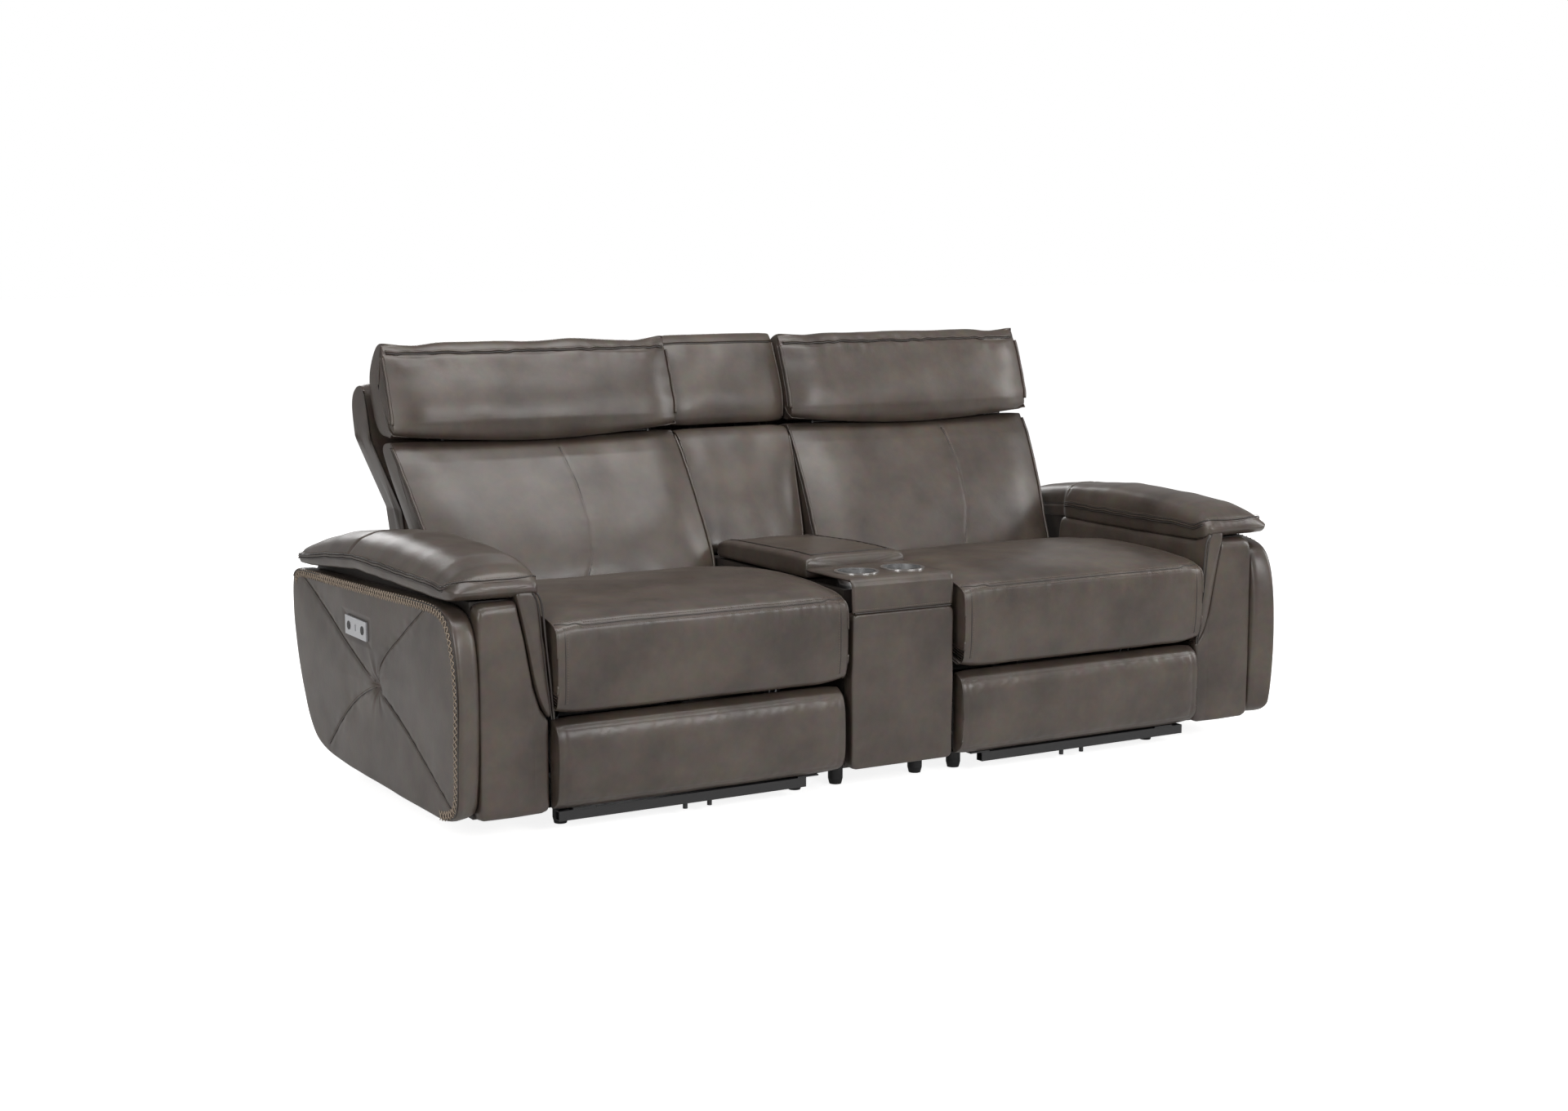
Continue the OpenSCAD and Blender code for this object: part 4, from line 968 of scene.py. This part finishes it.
def arm_pad(side, sign, seed):
    """One pad, pushed out by waves on top, and in at the seam across it and along a seam low on its
    sides. Gathers fan from the seam and over the front end."""
    grid = pad_rings(smooth_line(PAD_OUTLINE, 150), PAD_STATIONS, 190)
    n = grid_normals(grid)
    x, y, z = np.moveaxis(grid, 2, 0)
    up = facing(n, 2, 1.6)
    body = ramp(y + 488, 30) * ramp(430 - y, 30)
    push = up * body * (1.6 * waves(x * 1.3, y * 0.6, 210, seed) - 0.6)
    push += 0.5 * body * ripples(grid, 70, seed + 1)
    cross = y - 58 - 0.16 * (x - 930)
    push -= (3.4 * dent(cross, 5.5) + 1.6 * dent(cross, 1.8)) * up
    gathers = waves(x * 3.2, y * 0.5, 70, seed + 2)
    push += gathers * (dent(cross, 26) * up + 0.3 * dent(y + 470, 26))
    foot = np.interp(y, [station[0] for station in PAD_STATIONS], [station[3] for station in PAD_STATIONS])
    push -= 1.8 * dent(z - foot - 26, 2.6) * np.clip(np.abs(n[..., 0]) * 1.4, 0, 1) * body
    grid = mirrored(grid + n * push[..., None], sign)
    add_cover(f"{side}_arm_pad_cover", grid, hides[side], "sofa", f"{side}_arm_pad")
    # The flange goes along both long edges and across the front, where it stands higher
    z = grid[..., 2]
    share = np.maximum(0.40, 1.05 - 0.016 * (grid[:, 0, 1] + 490))
    height = z.min(axis=1) + np.minimum(FLANGE_TOP, share * np.ptp(z, axis=1))
    out = grid[..., 0] * sign
    outer_half = out > out.mean(axis=1, keepdims=True)
    outer = grid[across(grid, height, ~outer_half, 2)]
    inner = grid[across(grid, height, outer_half, 2)]
    loop = relax(np.vstack([outer[::-1], inner[inner[:, 1] < 52]]), 5)
    away = np.sign(loop[:, 0] - sign * PAD_MIDDLE)
    loop[:, 0] += away * 0.8
    loop[:, 2] += 0.7 * ripples(loop, 46, seed + 3)
    add_parts(f"{side}_arm_pad_flange", [tube(loop, 2.8)], hides[side], "sofa")
    # Dark cords just under and over the flange: painted shade at its foot and top
    proud = loop + away[:, None] * (1.4, 0, 0) + (0, -0.6, 0)
    groove_shades = [tube(proud - (0, 0, 4.6), 2.0, sides=6), tube(proud + (0, 0, 4.2), 1.2, sides=6)]
    add_parts(f"{side}_arm_pad_grooves", groove_shades, trim_and_shade_hide, "sofa")
    add_parts(f"{side}_arm_pad_stitches", stitches(loop + (0, 0, 8.0)), thread, "sofa")


both_sides(arm_pad, 710)

# Console front: an upholstered board under the deck, with rounded corners and a soft swell, screwed to
# the box. The leather gathers a little along its top edge.
BOX_FRONT = -454.2
PANEL_EYE = (0, 218)
PANEL_EDGE = [(BOX_FRONT - 0.2, 0.99), (-462, 0.997), (-480, 1.0), (-486, 0.998), (-489, 0.99),
              (-490.3, 0.98)]
PANEL_FACE = -490.6
PANEL_CORNER = 12


def console_front(seed):
    """The front panel's cover: the outline's right half goes up round two corners, and its mirror image
    down."""
    turns = [math.radians(angle) for angle in (0, 30, 60, 90)]
    corner = [(PANEL_CORNER * math.cos(turn), PANEL_CORNER * math.sin(turn)) for turn in turns]
    right = [(115 + c, 64 - s) for c, s in corner[::-1]] + [(128, 220)]
    right += [(115 + c, 371 + s) for c, s in corner]
    outline = corner_line(right + [(-x, z) for x, z in reversed(right)], 320)
    layers = PANEL_EDGE + [(PANEL_FACE, share) for share in np.linspace(0.965, 0.06, 46)]
    grid = layered(outline, PANEL_EYE, layers, 1)
    x, y, z = np.moveaxis(grid, 2, 0)
    out = 2.2 * np.exp(-(x / 95) ** 4) * np.exp(-((z - PANEL_EYE[1]) / 150) ** 4)
    out += 0.9 * waves(x, z, 110, seed)
    out += 0.5 * waves(x * 3.0, z * 0.4, 60, seed + 1) * dent(z - 372, 18)
    grid[..., 1] -= ramp(-y - 484, 6) * (out - 0.6)
    add_cover("console_front_cover", grid, hides["console"], "sofa", "console_front")


console_front(810)

# Console deck: leather over a board, with round holes for the two steel cup wells. It wraps over the
# front edge and is sewn to the front panel there.
CONSOLE_HALF = 127.0
CUPS = ((-58.0, -395.0), (58.0, -395.0))
CUP_HOLE = 42.6
DECK_PROFILE = [(-301, 457), (-472, 457), (-480, 455), (-486, 449.5), (-489.5, 441), (-490, 430),
                (-489, 386)]
DECK_THICK = 0.004


def open_faces(m, n, turn=0):
    """Quads of a grid of m rows and n columns whose edges stay open, as an array by row and column. Each
    quad splits along the diagonal from its first corner, and turn picks which one that is."""
    corner = np.arange(m - 1)[:, None] * n + np.arange(n - 1)
    return np.roll(np.stack([corner + n, corner + n + 1, corner + 1, corner], axis=-1), turn, axis=-1)


def console_deck(seed):
    """A sheet over the deck's top and front, in one grid. Points within a hole move out on to its ring,
    so that the hole's edge is round, and the faces inside are left out."""
    profile = np.array(DECK_PROFILE, float)
    run = np.r_[0, np.cumsum(np.linalg.norm(np.diff(profile, axis=0), axis=1))]
    rows = np.linspace(0, run[-1], 150)
    x, y = np.meshgrid(np.linspace(-CONSOLE_HALF, CONSOLE_HALF, 150), np.interp(rows, run, profile[:, 0]))
    z = np.broadcast_to(np.interp(rows, run, profile[:, 1])[:, None], x.shape)
    top = ramp(z - 456.5, 0.5)
    for cup_x, cup_y in CUPS:
        away = np.hypot(x - cup_x, y - cup_y) + 1e-6
        hole = (away < CUP_HOLE) & (top > 0)
        x = np.where(hole, cup_x + (x - cup_x) * CUP_HOLE / away, x)
        y = np.where(hole, cup_y + (y - cup_y) * CUP_HOLE / away, y)
    rounding = ramp(np.abs(x) - 119, 8)
    front = 1 - ramp(z - 440, 14)
    push = 0.7 * waves(x, y + z, 90, seed)
    away = np.min([np.hypot(x - cup_x, y - cup_y) for cup_x, cup_y in CUPS], axis=0)
    inside = (away < CUP_HOLE + 0.02) & (top > 0)
    push *= ramp(away - 48, 20) + (1 - top)
    z_out = z - 4.5 * rounding ** 2 * top + push * top * 0.8 - 0.2
    y_out = y - push * front + 4.0 * rounding ** 2 * front + 0.8 * dent(z - 386, 3) * front
    covered = inside[:-1, :-1] & inside[:-1, 1:] & inside[1:, 1:] & inside[1:, :-1]
    faces = open_faces(*x.shape)[~covered].tolist()
    verts = np.stack([x, y_out, z_out], axis=-1).reshape(-1, 3)
    piece = add_mesh("console_deck_cover", verts, faces, hides["console"], "sofa")
    thick = piece.modifiers.new("thickness", "SOLIDIFY")
    thick.thickness = DECK_THICK
    thick.offset = -1
    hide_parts("console_deck")
    level = np.linspace(-121, 121, 90)
    row = np.column_stack([level, np.full(90, -490.8), np.full(90, 392.0)])
    add_parts("console_deck_stitches", stitches(row, radius=0.65), thread, "sofa")
    # The fold where the deck meets the front panel: a dark cord of painted shade
    fold = np.column_stack([level, np.full(90, -490.0), np.full(90, 384.6)])
    add_parts("console_deck_seam", [seam_shade_cord(fold, 1.4)], trim_and_shade_hide, "sofa")


console_deck(820)

# Console lid: a padded leather top on a board over the bin, hinged at the rear. A seam frames its top
# panel at both sides and across the front.
LID_STATIONS = [(-300, -125, 125, 436, 472), (-296, -127, 127, 434, 479), (-284, -127, 127, 434, 481),
                (-229, -127, 127, 434, 482), (-59, -127, 127, 434, 479), (38, -127, 127, 434, 476),
                (92, -127, 127, 434, 470), (98, -124, 124, 436, 465)]
LID_OUTLINE = [(0, 0.06), (0, 0.6), (0.01, 0.84), (0.05, 0.95), (0.1, 0.985), (0.3, 1.0), (0.5, 1.01),
               (0.7, 1.0), (0.9, 0.985), (0.95, 0.95), (0.99, 0.84), (1, 0.6), (1, 0.06), (0.97, 0),
               (0.5, 0), (0.03, 0)]
RAIL_X = 103
RAIL_Y = -278


def console_lid(seed):
    """The lid's cover, pushed up by a crown and waves, and down along the seam, with draws just inside
    it."""
    grid = pad_rings(smooth_line(LID_OUTLINE, 130), LID_STATIONS, 130)
    n = grid_normals(grid)
    x, y, _ = np.moveaxis(grid, 2, 0)
    up = facing(n, 2, 1.5)
    body = ramp(y + 299, 25) * ramp(98 - y, 25)
    push = up * body * (1.5 + 1.3 * waves(x, y * 0.8, 130, seed))
    push -= 2.2 * dent(np.abs(x) - RAIL_X, 2.6) * up
    push -= 2.0 * dent(y - RAIL_Y, 2.6) * up * (np.abs(x) < RAIL_X)
    push += 0.7 * waves(x, y * 3.0, 64, seed + 1) * dent(np.abs(x) - 92, 16) * up
    skin = grid + n * push[..., None]
    add_cover("console_lid_cover", skin, hides["console"], "lid", "console_lid")
    # The seam round the top panel: a dark cord of painted shade
    spots = [(-RAIL_X, q) for q in np.arange(84, -276, -6.0)]
    spots += [(q, RAIL_Y) for q in np.arange(-101, 102, 6.0)]
    spots += [(RAIL_X, q) for q in np.arange(-276, 85, 6.0)]
    path = [(*spot, skin[nearest(grid, (0, 1), spot, n[..., 2] < 0.2)][2] + 1.3) for spot in spots]
    add_parts("console_lid_seams", [seam_shade_cord(path, 1.7)], trim_and_shade_hide, "lid")


console_lid(830)

# Console back: a fixed cushion with a headrest over it, foam in leather on a board frame. Each has a
# welt and a groove down both sides, and the headrest has its flange across the top edge. The grooves
# are dark cords: painted shade.
PILLOW_WIDTH = 280
CONSOLE_BACK = [(128, 442), (134, 470), (170, 560), (226, 676), (256, 712), (288, 716), (328, 696),
                (224, 500), (200, 452), (176, 430.2), (146, 430.2)]
CONSOLE_HEAD = [(290, 720), (262, 726), (262, 780), (298, 870), (330, 928), (356, 934), (388, 906),
                (398, 850), (388, 800), (356, 760), (346, 736)]


def console_pillow(name, outline, eye, seed, swell_z, node, flange_z=None):
    """One of the two pillows, pushed out by a swell at swell_z and by waves, with creases above and
    below it."""
    section = smooth_line(outline, 150)
    lo, hi = console_left, console_right
    grid, v = sweep(section, eye, lo, hi, reach=45, draw=(0.09, 0.02), gusset=2.0, rows=90)
    n = grid_normals(grid)
    x, _, z = np.moveaxis(grid, 2, 0)
    inner = 1 - dent(from_sides(v, PILLOW_WIDTH), 40)
    front = facing(n, 1, -2.0)
    push = front * inner * (1.0 + 3.0 * dent(z - swell_z, 60))
    push += front * 1.2 * waves(x, z * 0.8, 110, seed)
    creases = 0.35 * waves(x * 1.6, z * 0.5, 90, seed + 1)
    push += creases * (dent(z - swell_z - 95, 30) + dent(z - swell_z + 90, 26)) * front
    push += 0.3 * ripples(grid, 80, seed + 2)
    grid = grid + n * push[..., None]
    add_cover(name, grid, hides["console"], "sofa", node)
    # The grooves: dark cords of painted shade beside the welts and under the flange
    cords = []
    groove_shades = []
    heights = [q[1] for q in outline]
    for row in (8, len(grid) - 9):
        line = side_line(grid[row], n[row], np.arange(min(heights) + 14, max(heights) - 22, 4.0))
        cords.append(tube(line, 2.2))
        groove_shades.append(tube(line + (0, 4.0, 0), 2.0, sides=6))
    if flange_z:
        line = top_line(grid, n, flange_z, 9)
        cords.append(tube(line, 2.4))
        groove_shades.append(tube(line + (0, -1.9, -4.2), 1.8, sides=6))
    add_parts(f"{name}_welts", cords, hides["console"], "sofa")
    add_parts(f"{name}_grooves", groove_shades, trim_and_shade_hide, "sofa")


console_pillow("console_back_cover", CONSOLE_BACK, eye=(196, 540), seed=840, swell_z=560,
               node="console_back_cushion")
console_pillow("console_headrest_cover", CONSOLE_HEAD, eye=(330, 820), seed=850, swell_z=800,
               node="console_headrest", flange_z=914)

# Dust covers: black non-woven cloth stapled tight under each unit's base frame, from the front beam to
# the rear. They close the view up between the footrests and the seats, and their near-black is partly
# the cloth's own colour and partly painted shade under the seats.
# The cloth's near-black: partly its own colour, partly painted shade under the seats
dust_and_shade_cloth = plain_material("dust_and_shade_cloth", (0.010, 0.010, 0.010), 0.85, scale=500.0, bump=0.4, specular=0.15)
DUST_IN = 150
DUST_FRONT = -424
DUST_WIDE = 652
DUST_DEEP = 714
DUST_Z = 44.4


def dust_and_shade_cover(side, sign):
    """A flat sheet as a grid over X and Y, with the slightest sag: half a sine wave each way."""
    across_share, deep_share = np.meshgrid(np.linspace(0, 1, 30), np.linspace(0, 1, 34))
    z = DUST_Z - 0.3 * np.sin(np.pi * across_share) * np.sin(np.pi * deep_share)
    x = sign * (DUST_IN + DUST_WIDE * across_share)
    verts = np.stack([x, DUST_FRONT + DUST_DEEP * deep_share, z], axis=-1).reshape(-1, 3)
    faces = open_faces(*z.shape, turn=1).reshape(-1, 4)[:, ::sign].tolist()
    piece = add_mesh(f"{side}_dust_and_shade_cover", verts, faces, dust_and_shade_cloth, "sofa")


for side_key, side_sign, _ in SIDES:
    dust_and_shade_cover(side_key, side_sign)
